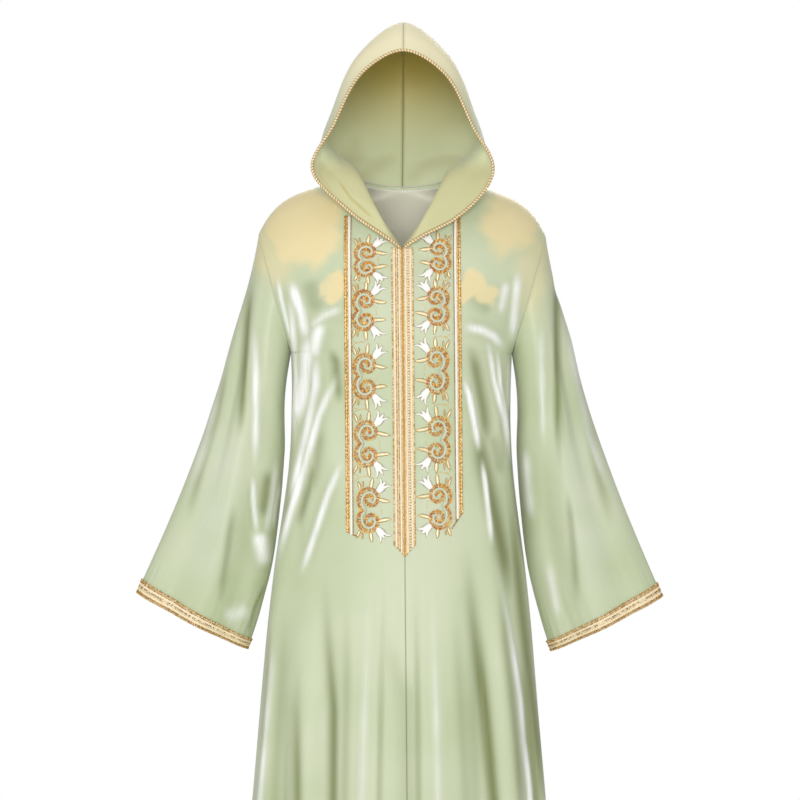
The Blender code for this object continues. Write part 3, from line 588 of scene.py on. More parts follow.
# Studio. Lights: name, place, where it points, size in metres, power in watts.
CAMERA_DISTANCE = 4.2
CAMERA_ACROSS = -0.0016
CAMERA_HEIGHT = -0.318
CAMERA_ROLL = -0.4
PICTURE_WIDTH = 1.24
FLOOR_RADIUS = 3.0
FLOOR_DROP = 0.02
LIGHTS = (
    ("front", (-0.2, -4.6, 0.05), (0, 0, -0.3), 1.8, 102),
    ("key", (-2.1, -2.6, 1.6), (0, 0, -0.4), 1.2, 13),
    ("fill", (2.4, -2.4, 0.6), (0, 0, -0.5), 1.4, 6),
    ("side_left", (-2.6, -0.5, 0.0), (0, 0, -0.5), 1.2, 9.5),
    ("side_right", (2.6, -0.4, 0.0), (0, 0, -0.5), 1.2, 7.5),
    ("top", (0.0, 0.2, 2.6), (0, 0, 0), 1.6, 14),
    ("back", (0.4, 3.2, 1.2), (0, 0, -0.4), 1.8, 48),
)


def linear_colour(hex_text):
    """Linear red, green, blue and alpha of an sRGB hex colour."""
    channels = [int(hex_text[i:i + 2], 16) / 255 for i in (0, 2, 4)]
    curve = [c / 12.92 if c <= 0.04045 else ((c + 0.055) / 1.055) ** 2.4 for c in channels]
    return (*curve, 1.0)


def fill_inputs(node, inputs):
    """Sets inputs of a node to values, or links them to sockets."""
    for key, value in inputs.items():
        if isinstance(value, bpy.types.NodeSocket):
            node.id_data.links.new(value, node.inputs[key])
        else:
            node.inputs[key].default_value = value


def add_node(tree, kind, inputs=None, **settings):
    """Node of a kind, with its settings and inputs."""
    node = tree.nodes.new(kind)
    for name, value in settings.items():
        setattr(node, name, value)
    fill_inputs(node, inputs or {})
    return node


def new_material(name):
    """Material with its tree and its Principled shader."""
    material = bpy.data.materials.new(name)
    material.use_nodes = True
    return material, material.node_tree, material.node_tree.nodes["Principled BSDF"]


def through(places, values, at):
    """Smooth curve through values (numbers or points) that stand at rising places."""
    places = np.asarray(places, float)
    values = np.asarray(values, float)
    last = len(places) - 1
    i = int(np.clip(np.searchsorted(places, at) - 1, 0, last - 1))
    span = places[i + 1] - places[i]

    def slope(j):
        before, after = max(j - 1, 0), min(j + 1, last)
        return (values[after] - values[before]) / (places[after] - places[before])

    s = (at - places[i]) / span
    return ((2 * s ** 3 - 3 * s ** 2 + 1) * values[i]
            + (s ** 3 - 2 * s ** 2 + s) * span * slope(i)
            + (3 * s ** 2 - 2 * s ** 3) * values[i + 1]
            + (s ** 3 - s ** 2) * span * slope(i + 1))


def table_value(table, at, column):
    """A column of a table, read smoothly at a place in its first column."""
    return float(through([row[0] for row in table], [row[column] for row in table], at))


def smooth_step(low, high, at):
    """0 below low, 1 above high, smooth between."""
    s = np.clip((at - low) / (high - low), 0.0, 1.0)
    return s * s * (3 - 2 * s)


def unit(vectors):
    """Vectors at length 1."""
    return vectors / np.maximum(np.linalg.norm(vectors, axis=-1, keepdims=True), 1e-12)


def without(vectors, axis):
    """Vectors with one axis taken out, at length 1."""
    flat = vectors.copy()
    flat[..., axis] = 0.0
    return unit(flat)


def grid_normals(points, outward, ring=False):
    """Normals of a grid of points, on the side that the outward vector shows."""
    if ring:
        across = np.roll(points, -1, axis=1) - np.roll(points, 1, axis=1)
    else:
        across = np.gradient(points, axis=1)
    normals = unit(np.cross(across, np.gradient(points, axis=0)))
    if np.sum(normals * outward) < 0:
        normals = -normals
    return normals


def centre_seam(height):
    """Where the centre-front seam runs at a height."""
    return CENTRE_SEAM_SWING * max(0.0, V_BOTTOM_HEIGHT - height)


def armhole_point(row):
    """Across, share of the armhole's depth, and height, from the armpit up to the tip."""
    angle = math.pi * row / ARMHOLE_ROWS
    way = (1 - math.cos(angle)) / 2
    across = ARMPIT[0] + (SHOULDER_TIP[0] - ARMPIT[0]) * way
    height = ARMPIT[1] + (SHOULDER_TIP[1] - ARMPIT[1]) * way
    return across, math.sin(angle), height


def front_inner_edge(row):
    """Across, depth and height of the front's inner edge: centre front, then neckline."""
    straight_rows = ARMHOLE_ROWS - FRONT_NECK_ROWS
    if row <= straight_rows:
        height = ARMPIT[1] + (V_BOTTOM_HEIGHT - ARMPIT[1]) * row / straight_rows
        return 0.0, table_value(DEPTH_LINE, height, 1), height
    way = math.sin(math.pi / 2 * (row - straight_rows) / FRONT_NECK_ROWS)
    depth = table_value(DEPTH_LINE, V_BOTTOM_HEIGHT, 1)
    depth *= max(0.0, 1 - way ** NECK_CURVE[0]) ** NECK_CURVE[1]
    height = V_BOTTOM_HEIGHT + (NECK_POINT[1] - V_BOTTOM_HEIGHT) * way
    return NECK_POINT[0] * way, depth, height


def back_inner_edge(row):
    """Across, depth and height of the back's inner edge: centre back, then neckline."""
    straight_rows = ARMHOLE_ROWS - BACK_NECK_ROWS
    if row <= straight_rows:
        height = ARMPIT[1] + (BACK_NECK_HEIGHT - ARMPIT[1]) * row / straight_rows
        return 0.0, table_value(DEPTH_LINE, height, 2), height
    angle = math.pi / 2 * (row - straight_rows) / BACK_NECK_ROWS
    height = NECK_POINT[1] + (BACK_NECK_HEIGHT - NECK_POINT[1]) * math.cos(angle)
    return NECK_POINT[0] * math.sin(angle), BACK_NECK_DEPTH * math.cos(angle), height


def lower_heights():
    """Row heights from the hem to the armpit."""
    skirt = np.linspace(HEM_HEIGHT, HIP_HEIGHT, SKIRT_STEPS + 1)[:-1]
    waist = np.linspace(HIP_HEIGHT, ARMPIT[1], WAIST_STEPS + 1)
    return [float(h) for h in (*skirt, *waist)]


def fold_offset(across, height):
    """How far the large folds push the cloth out, for arrays of places round the body."""
    offset = np.zeros_like(across)
    for top, top_height, bottom, bottom_height, width, depth in BODY_FOLDS:
        way = (top_height - height) / (top_height - bottom_height)
        middle = top + (bottom - top) * np.clip(way, 0.0, 1.0)
        gap = np.abs(across - middle)
        gap = np.minimum(gap, 4.0 - gap)
        strength = smooth_step(0.0, FOLD_START, top_height - height)
        if bottom_height > HEM_HEIGHT:
            strength = strength * smooth_step(0.0, FOLD_FADE, height - bottom_height)
        offset += depth * strength * np.exp(-(gap / width) ** 2)
    return offset


def line_nearness(across, height, line, width):
    """1 on a line drawn in the front view, falling off softly to its sides and ends."""
    nearest = np.full(across.shape, 1e9)
    along = np.zeros(across.shape)
    lengths = [math.dist(*pair) for pair in zip(line, line[1:])]
    begun = 0.0
    for (x0, z0), (x1, z1), length in zip(line, line[1:], lengths):
        run = np.array([x1 - x0, z1 - z0], float) * MM
        way = ((across - x0 * MM) * run[0] + (height - z0 * MM) * run[1]) / run.dot(run)
        way = np.clip(way, 0.0, 1.0)
        gap = np.hypot(across - x0 * MM - way * run[0], height - z0 * MM - way * run[1])
        along = np.where(gap < nearest, begun + way * length, along)
        nearest = np.minimum(nearest, gap)
        begun += length
    taper = smooth_step(0.0, CREASE_START * begun, along)
    if line[-1][1] > HEM_REACHED:
        taper = taper * (1 - smooth_step((1 - CREASE_END) * begun, begun, along))
    return np.exp(-(nearest / (width * MM)) ** 2) * taper


def crease_the_cloth(points, normals, creases, painted_shade_bands=()):
    """Points with the listed creases, and how much painted highlight and painted shade each
    point gets.
    """
    across, height = points[..., 0].copy(), points[..., 2].copy()
    silver = np.zeros(across.shape)
    painted_shade = np.zeros(across.shape)
    push = np.zeros(across.shape)
    for width, rise, shine, line in creases:
        push += rise * MM * line_nearness(across, height, line, width)
        # Painted silver-white highlight along the ridge, coming and going along it
        wave = (np.sin(height * SHEEN_WAVES[0] + width * 5)
                * np.sin(height * SHEEN_WAVES[1] + rise))
        uneven = 1 - SHEEN_SWING + SHEEN_SWING * wave
        broad = line_nearness(across, height, line, width * SHEEN_SPREAD)
        silver = np.maximum(silver, np.minimum(1.0, SHEEN_GAIN * shine * uneven * broad))
        # Painted shade in the troughs, and beside ridges with a highlight
        painted_shade = np.maximum(painted_shade, -rise / TROUGH_SHADE * broad)
        beside = line_nearness(across, height, line, width * SHEEN_SPREAD * EDGE_SPREAD)
        painted_shade = np.maximum(painted_shade, EDGE_SHADE * shine * beside)
    for width, shade, line in painted_shade_bands:
        painted_shade = np.maximum(painted_shade, shade * line_nearness(across, height, line, width))
    painted_shade = np.clip(painted_shade, 0.0, 1.0) * (1 - silver)
    return points + normals * push[..., None], silver, painted_shade


def cream_share(across, depth, height):
    """How much of the cream patch colour a place of the cloth has."""
    share = np.zeros(across.shape)
    sideways, up = (sum(size * np.sin(across * over + height * high + start)
                        for size, over, high, start in waves) for waves in PATCH_WAVES)
    across, height = across + sideways * MM, height + up * MM
    for x, z, half_width, half_height, turn, soft, strength, back in CREAM_PATCHES:
        turn = math.radians(turn)
        dx, dz = across - x * MM, height - z * MM
        u = (dx * math.cos(turn) + dz * math.sin(turn)) / (half_width * MM)
        v = (-dx * math.sin(turn) + dz * math.cos(turn)) / (half_height * MM)
        reach = np.hypot(u, v)
        reached = strength * (1 - smooth_step(1 - soft, 1 + soft, reach))
        share = np.maximum(share, reached * (depth < back * MM))
    return share


def panel(side, is_front):
    """Points and normals of one side of the front or back, hem to shoulder, with how much
    painted highlight and painted shade each point gets.
    """
    facing = -1.0 if is_front else 1.0
    depth_column = 1 if is_front else 2
    armhole_depth = ARMHOLE_DEPTH_FRONT if is_front else ARMHOLE_DEPTH_BACK
    inner_edge = front_inner_edge if is_front else back_inner_edge
    power = 2.0 / SECTION_ROUNDNESS

    rows = []
    for height in lower_heights()[:-1]:
        seam = centre_seam(height) * side if is_front else 0.0
        depth = table_value(DEPTH_LINE, height, depth_column)
        rows.append(((seam, depth, height),
                     (table_value(SIDE_LINE, height, 1), 0.0, height), 0.0))
    for step in range(ARMHOLE_ROWS * STEPS_PER_ROW + 1):
        row = step / STEPS_PER_ROW
        across, share, height = armhole_point(row)
        inner = inner_edge(row)
        if row <= ARMHOLE_ROWS - FRONT_NECK_ROWS and is_front:
            inner = (centre_seam(inner[2]) * side, inner[1], inner[2])
        rows.append((inner, (across, share * armhole_depth, height), row / ARMHOLE_ROWS))

    fixed = np.linspace(0.0, BORDER_OUTER, FIELD_STEPS + 1) if is_front else np.zeros(1)
    spread = OUTER_STEPS if is_front else BACK_STEPS
    points = np.zeros((len(rows), len(fixed) + spread, 3))
    place = np.zeros((len(rows), len(fixed) + spread))
    for i, (inner, outer, up) in enumerate(rows):
        limit = math.radians(90 - SHOULDER_SHORTFALL * smooth_step(0.0, SHORTFALL_FULL, up))
        pulled = max(0.0, inner[0] / NECK_POINT[0]) if is_front and up > 0 else 0.0
        flare = 1 + SKIRT_FLARE * smooth_step(-PLACKET_POINT_HEIGHT, -HEM_HEIGHT, -inner[2])
        share = fixed * flare * (1 - NECK_PULL * pulled) / (outer[0] - inner[0])
        angles = np.arcsin(np.minimum(1.0, share ** (1 / power) * math.sin(limit)))
        onward = np.arange(1, spread + 1) / spread
        angles = np.concatenate((angles, angles[-1] + (limit - angles[-1]) * onward))
        edge_cos = math.cos(limit) ** power if limit < math.pi / 2 else 0.0
        share = (np.sin(angles) / math.sin(limit)) ** power
        deep = (np.maximum(0.0, np.cos(angles)) ** power - edge_cos) / (1 - edge_cos)
        slope = (1 - up) * share + up * 0.5 * (share + share ** 6)
        points[i, :, 0] = side * (inner[0] + (outer[0] - inner[0]) * share)
        points[i, :, 1] = facing * (outer[1] + (inner[1] - outer[1]) * deep)
        points[i, :, 2] = inner[2] + (outer[2] - inner[2]) * slope
        quarter = angles / limit
        place[i] = side * (quarter if is_front else 2.0 - quarter)

    outward = np.array([side * 0.5, facing, 0.3])
    normals = grid_normals(points, outward)
    fade = 1 - smooth_step(0.0, FOLD_TOP, points[..., 2] - ARMPIT[1])
    push = fold_offset(place, points[..., 2]) * fade
    points[..., :2] += normals[..., :2] * push[..., None]
    # Creases, with their painted highlight and painted shade
    creases = FRONT_CREASES if is_front else BACK_CREASES
    points, silver, painted_shade = crease_the_cloth(points, grid_normals(points, outward), creases,
                                             PAINTED_SHADE_BANDS if is_front else ())

    normals = grid_normals(points, outward)
    side_rows = len(lower_heights())
    neck_rows = FRONT_NECK_ROWS if is_front else BACK_NECK_ROWS
    centre_rows = side_rows + (ARMHOLE_ROWS - neck_rows) * STEPS_PER_ROW
    normals[:centre_rows, 0] = without(normals[:centre_rows, 0], 0)
    normals[:side_rows, -1] = without(normals[:side_rows, -1], 1)
    normals[-1, :] = without(normals[-1, :], 1)
    points[:side_rows, -1, 1] += facing * SEAM_GAP / 2
    points[-1, :, 1] += facing * SEAM_GAP / 2
    if is_front:
        points[:centre_rows, 0, 0] += side * SEAM_GAP / 2
    return {"points": points, "normals": normals, "silver": silver, "painted_shade": painted_shade}


def sleeve(side, front, back):
    """Points and normals of a sleeve: rings from the armhole down to the cuff."""
    first = len(lower_heights()) - 1
    front_edge, back_edge = front["points"][first:, -1], back["points"][first:, -1]
    loop = np.concatenate((front_edge[::-1], back_edge[1:-1]))
    loop_normals = np.concatenate((front["normals"][first:, -1][::-1],
                                   back["normals"][first:, -1][1:-1]))
    half_way = ARMHOLE_ROWS * STEPS_PER_ROW
    loop[0, 1] = 0.0
    loop[half_way, 1] = 0.0
    columns = len(loop)
    angles = 360.0 * np.arange(columns) / columns
    turns = np.radians(angles)

    places = [row[0] for row in SLEEVE_SECTIONS]
    middle_start = np.array([side * (ARMPIT[0] + SHOULDER_TIP[0]) / 2, 0.0,
                             (ARMPIT[1] + SHOULDER_TIP[1]) / 2])
    downs = np.linspace(0.0, 1.0, SLEEVE_STEPS + 1)
    points = np.zeros((len(downs), columns, 3))
    hole = loop - middle_start
    for i, down in enumerate(downs):
        row = through(places, [r[1:] for r in SLEEVE_SECTIONS], down)
        outer = np.array([side * row[0], row[5], row[1]])
        under = np.array([side * row[2], row[5], row[3]])
        middle, half = (outer + under) / 2, (outer - under) / 2
        set_in = smooth_step(0.0, SLEEVE_SET_IN, down)
        lens = half[None, :] * np.cos(turns)[:, None]
        lens[:, 1] -= row[4] * np.sin(turns) * np.abs(np.sin(turns)) ** SLEEVE_FULLNESS
        points[i] = middle + (1 - set_in) * hole + set_in * lens
    points[0] = loop
    centres = points.mean(axis=1, keepdims=True)
    normals = grid_normals(points, points - centres, ring=True)
    push = np.zeros(points.shape[:2])
    for top, bottom, start, end, width, depth in SLEEVE_FOLDS:
        way = np.clip((downs - start) / (end - start), 0.0, 1.0)[:, None]
        gap = (angles[None, :] - (top + (bottom - top) * way)) / width
        strength = smooth_step(start, start + SLEEVE_FOLD_START, downs)[:, None]
        push += depth * strength * np.exp(-gap ** 2)
    push += gather_push(side, angles, downs)
    points += normals * push[..., None]
    fold_over = smooth_step(*UNDERARM_TURN, np.abs(180.0 - angles))[:, None]
    plane = unit(np.array([side * (SHOULDER_TIP[1] - ARMPIT[1]), 0.0,
                           ARMPIT[0] - SHOULDER_TIP[0]]))
    points[0] = loop + plane * SEAM_GAP
    normals = grid_normals(points, points - centres, ring=True)
    fade = smooth_step(*SLEEVE_CREASE_START, downs)[:, None]
    # Creases, with their painted highlight and painted shade
    creased, silver, painted_shade = crease_the_cloth(points, normals, SLEEVE_CREASES[side])
    points = points + (creased - points) * fade[..., None]
    normals = grid_normals(points, points - centres, ring=True)
    normals[0] = unit(normals[0] * (1 - fold_over) + loop_normals * fold_over)
    return {"points": points, "normals": normals, "silver": silver * fade,
            "painted_shade": painted_shade * fade}


def gather_push(side, angles, downs):
    """Small gathers that run up from the cuff braid, uneven in place, length and depth."""
    rng = random.Random(41 + side)
    push = np.zeros((len(downs), len(angles)))
    angle = GATHER_ENDS[0]
    reach = 1 - CUFF_BAND / SLEEVE_LENGTH - downs[:, None]
    while angle < GATHER_ENDS[1]:
        length, depth, width, lean = (rng.uniform(*limits) for limits in (
            GATHER_LENGTHS, GATHER_DEPTHS, GATHER_WIDTHS, GATHER_LEANS))
        gap = (angles[None, :] - angle - lean * reach) / width
        rise = np.clip(1 - reach / length, 0.0, 1.0) * smooth_step(-0.03, 0.0, reach)
        push += depth * rise * np.exp(-gap ** 2)
        angle += rng.uniform(*GATHER_SPACES)
    return push


def neckline(side, front, back):
    """Neckline points, normals and the way on from the cloth, front V to centre back."""
    front_rows = slice(front["points"].shape[0] - 1 - FRONT_NECK_ROWS * STEPS_PER_ROW, None)
    back_rows = slice(back["points"].shape[0] - 1 - BACK_NECK_ROWS * STEPS_PER_ROW, -1)

    def joined(kind, column):
        return np.concatenate((front[kind][front_rows, column],
                               back[kind][back_rows, column][::-1]))

    edge, beside, normals = joined("points", 0), joined("points", 1), joined("normals", 0)
    edge[FRONT_NECK_ROWS * STEPS_PER_ROW, 1] = 0.0
    edge[-1, 0] = side * SEAM_GAP / 2
    away = unit(np.cross(unit(np.gradient(edge, axis=0)), normals))
    away *= np.sign(np.sum(away * (edge - beside), axis=1, keepdims=True))
    away[0] = without(away[0], 0)
    away[-1] = without(away[-1], 0)
    return np.arange(len(edge)) / (len(edge) - 1), edge, normals, away


def hood_half(side, front, back):
    """Points and normals of a hood half: ribs from the face edge to the centre back."""
    backs, edge, edge_normals, away = neckline(side, front, back)
    mirror = np.array([-1.0, 1.0, 1.0])
    rib_places = [rib[0] for rib in HOOD_RIBS] + [2 - HOOD_RIBS[-2][0]]
    ribs = [np.array(rib[1:]) for rib in HOOD_RIBS]
    ribs.append(ribs[-2] * mirror)
    ups = np.linspace(0.0, 1.0, HOOD_STEPS + 1)
    line_places = (*RIB_PLACES, 2 - RIB_PLACES[-2])
    points = np.zeros((len(ups), len(backs), 3))
    for j, place in enumerate(backs):
        rib = through(rib_places, ribs, place) * np.array([side, 1.0, 1.0])
        rib_line = np.concatenate(([edge[j] + away[j] * SEAM_GAP], rib, [rib[-2] * mirror]))
        for i, up in enumerate(ups):
            points[i, j] = through(line_places, rib_line, up)
        if side > 0:
            near = np.exp(-((ups - LAPEL_PLACE) / LAPEL_SPREAD) ** 2)
            near *= 1 - smooth_step(0.0, LAPEL_DEPTH_BACK, place)
            points[:, j, 2] -= RIGHT_LAPEL_DROP * near
    points[:, -1, 0] = side * SEAM_GAP / 2
    points[-1, :, 0] = side * SEAM_GAP / 2
    normals = grid_normals(points, points - np.array(HEAD_MIDDLE))
    normals[0] = edge_normals
    normals[:, -1] = without(normals[:, -1], 0)
    normals[-1] = without(normals[-1], 0)
    # Painted shade inside the hood: deepening up under the crown, on the lapels and along the
    # folds listed. On the outside the same share turns the hood pale cream towards the crown
    painted_shade = smooth_step(HOOD_SHADE_FROM, HOOD_SHADE_TO, points[..., 2])
    lapel = (1 - smooth_step(*LAPEL_TOP, points[..., 2])) * (
        1 - smooth_step(*LAPEL_BACK, points[..., 1]))
    painted_shade = np.maximum(painted_shade, LAPEL_SHARE * lapel)
    for folds, here in ((LAPEL_FOLDS, points[..., 1] < 0), (HOOD_FOLDS, points[..., 1] >= 0)):
        for width, shade, line in folds:
            fold = line_nearness(points[..., 0], points[..., 2], line, width)
            painted_shade = np.maximum(painted_shade, shade * fold * here)
    return {"points": points, "normals": normals, "silver": np.zeros(points.shape[:2]),
            "painted_shade": painted_shade}


def closed(field):
    """A grid with its first column again at its end."""
    return np.concatenate((field, field[:, :1]), axis=1)


def run_lengths(line):
    """How far along a line each of its points lies."""
    steps = np.linalg.norm(np.diff(line, axis=0), axis=1)
    return np.concatenate(([0.0], np.cumsum(steps)))


def object_from(name, bm, *materials):
    """Smooth object at the origin from a bmesh, which is freed."""
    mesh = bpy.data.meshes.new(name)
    bm.to_mesh(mesh)
    bm.free()
    for material in materials:
        mesh.materials.append(material)
    mesh.shade_smooth()
    thing = bpy.data.objects.new(name, mesh)
    bpy.context.scene.collection.objects.link(thing)
    return thing


def cloth_shell(name, grids, materials, node, ring=False):
    """Satin sheet through one or more grids, with a thin wall towards the inside."""
    bm = bmesh.new()
    map_layer = bm.loops.layers.uv.new("UVMap")
    # Per point: the painted silver-white highlight, the cream dye patches and the painted shade
    layers = {kind: bm.verts.layers.float.new(kind) for kind in ("silver", "cream", "painted_shade")}
    for grid in grids:
        fields = {kind: grid[kind] for kind in ("points", "silver", "painted_shade")}
        if ring:
            fields = {kind: closed(field) for kind, field in fields.items()}
        points = fields["points"]
        fields["cream"] = cream_share(*np.moveaxis(points, -1, 0))
        rows, columns = points.shape[:2]
        across, down = run_lengths(points[rows // 2]), run_lengths(points[:, columns // 2])
        made = bmesh.ops.create_grid(bm, x_segments=columns - 1, y_segments=rows - 1, size=1.0)
        spots = {vert: (round((vert.co.y + 1) / 2 * (rows - 1)),
                        round((vert.co.x + 1) / 2 * (columns - 1))) for vert in made["verts"]}
        for vert, spot in spots.items():
            vert.co = points[spot]
            for kind, layer in layers.items():
                vert[layer] = float(fields[kind][spot])
        faces = {face for vert in made["verts"] for face in vert.link_faces}
        for face in faces:
            for loop in face.loops:
                row, column = spots[loop.vert]
                loop[map_layer].uv = (across[column], down[row])
        middle = made["verts"][rows // 2 * columns + columns // 2]
        sample = next(face for face in faces if middle in face.verts)
        sample.normal_update()
        if sample.normal.dot(Vector(grid["normals"][spots[middle]])) < 0:
            bmesh.ops.reverse_faces(bm, faces=list(faces))
    bmesh.ops.remove_doubles(bm, verts=bm.verts[:], dist=MERGE_DISTANCE)
    thing = object_from(name, bm, *materials)
    wall = thing.modifiers.new("wall", "SOLIDIFY")
    wall.material_offset = 1
    wall.thickness = SATIN_THICKNESS
    wall.offset = -1.0
    wall.use_even_offset = False
    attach(thing, BODY)
    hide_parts(node)
    return thing


def satin_material(name, sage_hex, deep_hex, painted_shade_hex):
    """Polyester satin organza, woven with a pale lustrous weft.

    It has long faint streaks along the warp, broad gloss across the folds, a painted
    silver-white highlight along the ridges of its creases, painted shade in its troughs and
    shade bands, and cream-yellow dyed patches with soft edges. On the hood's outside the
    share of painted shade turns the cloth pale cream instead. The streaks are 2.4 by 110 mm,
    drawn coarser than the threads so that they show, and the lighter and deeper clouds are
    about 180 mm across.
    """
    material, tree, shader = new_material(name)
    warp = add_node(tree, "ShaderNodeUVMap", uv_map="UVMap")
    place = add_node(tree, "ShaderNodeTexCoord")
    streak_map = add_node(tree, "ShaderNodeMapping", {
        "Vector": warp.outputs["UV"], "Scale": (420.0, 9.0, 1.0)})
    streaks = add_node(tree, "ShaderNodeTexNoise", {
        "Vector": streak_map.outputs["Vector"], "Scale": 1.0, "Detail": 3.0,
        "Roughness": 0.6}).outputs["Fac"]
    clouds = add_node(tree, "ShaderNodeTexNoise", {
        "Vector": place.outputs["Object"], "Scale": 5.5, "Detail": 2.0, "Roughness": 0.5})
    cloud_share = add_node(tree, "ShaderNodeMapRange", {
        "Value": clouds.outputs["Fac"], "From Min": 0.35, "From Max": 0.68})
    painted_shade, cream, silver = (
        add_node(tree, "ShaderNodeAttribute", attribute_name=kind).outputs["Fac"]
        for kind in ("painted_shade", "cream", "silver"))
    broken = add_node(tree, "ShaderNodeMapRange", {
        "Value": streaks, "From Min": 0.34, "From Max": 0.60, "To Min": 0.72, "To Max": 1.08})
    shine = add_node(tree, "ShaderNodeMath", {0: silver, 1: broken.outputs["Result"]},
                     operation="MULTIPLY")
    colour = linear_colour(sage_hex)
    # Deeper sage clouds, then the painted shade (pale cream on the hood's outside), the cream
    # dye patches, and last the painted silver-white highlight, broken by the streaks
    for share, hex_text in ((cloud_share.outputs["Result"], deep_hex), (painted_shade, painted_shade_hex),
                            (cream, CREAM_HEX), (shine.outputs["Value"], PAINTED_SHEEN_HEX)):
        mixed = add_node(tree, "ShaderNodeMix", {
            "Factor": share, "A": colour, "B": linear_colour(hex_text)}, data_type="RGBA")
        colour = mixed.outputs["Result"]
    gloss = add_node(tree, "ShaderNodeMapRange", {
        "Value": streaks, "From Min": 0.3, "From Max": 0.7, "To Min": 0.42, "To Max": 0.52})
    bump = add_node(tree, "ShaderNodeBump", {
        "Height": streaks, "Strength": 0.12, "Distance": 0.0004})
    tangent = add_node(tree, "ShaderNodeTangent", direction_type="UV_MAP", uv_map="UVMap")
    fill_inputs(shader, {
        "Base Color": colour, "Roughness": gloss.outputs["Result"],
        "Normal": bump.outputs["Normal"], "Tangent": tangent.outputs["Tangent"],
        "Anisotropic": 0.65, "Specular IOR Level": 0.5, "Sheen Weight": 0.25,
        "Sheen Roughness": 0.35})
    return material


def inside_material(name, light_hex, deep_hex):
    """Wrong side of the organza: matt and pale, with painted shade deep under the crown. The
    dress's near-white inside is partly painted light.
    """
    material, tree, shader = new_material(name)
    # Share of painted shade, mixing the light colour towards the deep one
    deep = add_node(tree, "ShaderNodeAttribute", attribute_name="painted_shade")
    colour = add_node(tree, "ShaderNodeMix", {
        "Factor": deep.outputs["Fac"], "A": linear_colour(light_hex),
        "B": linear_colour(deep_hex)}, data_type="RGBA")
    fill_inputs(shader, {"Base Color": colour.outputs["Result"], "Roughness": 0.6,
                         "Sheen Weight": 0.3})
    return material


def thread_material(name, stops, metallic, roughness, coat):
    """Shiny thread or bead in a few tones of one metal colour."""
    material, tree, shader = new_material(name)
    tone = add_node(tree, "ShaderNodeAttribute", attribute_name="tone")
    ramp = add_node(tree, "ShaderNodeValToRGB", {"Fac": tone.outputs["Fac"]})
    elements = ramp.color_ramp.elements
    while len(elements) < len(stops):
        elements.new(0.5)
    for element, (place, hex_text) in zip(elements, stops):
        element.position = place
        element.color = linear_colour(hex_text)
    fill_inputs(shader, {"Base Color": ramp.outputs["Color"], "Metallic": metallic,
                         "Roughness": roughness, "Coat Weight": coat})
    return material


def plain_satin(name, hex_text, roughness, metallic, sheen):
    """Thread, ribbon or tape of one colour. Its grain of about 1 mm is coarse, to show."""
    material, tree, shader = new_material(name)
    place = add_node(tree, "ShaderNodeTexCoord")
    grain = add_node(tree, "ShaderNodeTexNoise", {
        "Vector": place.outputs["Object"], "Scale": 900.0, "Detail": 1.0})
    bump = add_node(tree, "ShaderNodeBump", {
        "Height": grain.outputs["Fac"], "Strength": 0.25, "Distance": 0.0003})
    fill_inputs(shader, {
        "Normal": bump.outputs["Normal"], "Base Color": linear_colour(hex_text),
        "Roughness": roughness, "Metallic": metallic, "Sheen Weight": sheen})
    return material


def grid_into(bm, points, tone):
    """A grid of faces through rows of points, all of one tone."""
    rows, columns = points.shape[:2]
    tone_layer = bm.verts.layers.float.get("tone") or bm.verts.layers.float.new("tone")
    made = bmesh.ops.create_grid(bm, x_segments=columns - 1, y_segments=rows - 1, size=1.0)
    for vert, place in zip(made["verts"], points.reshape(-1, 3)):
        vert.co = place
        vert[tone_layer] = tone


def cord(bm, line, wide, high, sides=8, tone=0.5):
    """Closed band along a line, round or lens-shaped, with half width and half height.

    Its high side faces -Y. Both may be lists, so that a petal or leaf tapers.
    """
    line = np.asarray(line, float)
    wide = np.broadcast_to(wide, len(line))
    high = np.broadcast_to(high, len(line))
    along = unit(np.gradient(line, axis=0))
    across = unit(np.cross(along, np.array([0.0, -1.0, 0.0])))
    out = unit(np.cross(across, along))
    turns = np.linspace(0.0, math.tau, sides + 1)
    ring = (across[:, None] * (wide[:, None] * np.cos(turns))[..., None]
            + out[:, None] * (high[:, None] * np.sin(turns))[..., None])
    start, end = (np.repeat(tip, sides + 1, axis=0)[None] for tip in (line[:1], line[-1:]))
    grid_into(bm, np.concatenate((start, line[:, None] + ring, end)), tone)


def bead_template():
    """Small round bead that rows of beads are copied from, and its points."""
    bm = bmesh.new()
    bm.verts.layers.float.new("tone")
    bmesh.ops.create_icosphere(bm, subdivisions=1, radius=1.0)
    mesh = bpy.data.meshes.new("bead")
    bm.to_mesh(mesh)
    bm.free()
    return mesh, np.array([vert.co for vert in mesh.vertices], float)


BEAD = bead_template()


def bead(bm, across, height, lift, length, thick, turn, tone):
    """Bead on the flat, long along a direction turned from the horizontal."""
    mesh, coords = BEAD
    sized = coords * np.array([length / 2, thick / 2, thick / 2])
    c, s = math.cos(turn), math.sin(turn)
    placed = np.stack((sized[:, 0] * c - sized[:, 2] * s + across, sized[:, 1] - lift,
                       sized[:, 0] * s + sized[:, 2] * c + height), axis=1)
    mesh.vertices.foreach_set("co", placed.ravel())
    mesh.attributes["tone"].data.foreach_set("value", [tone] * len(coords))
    bm.from_mesh(mesh)


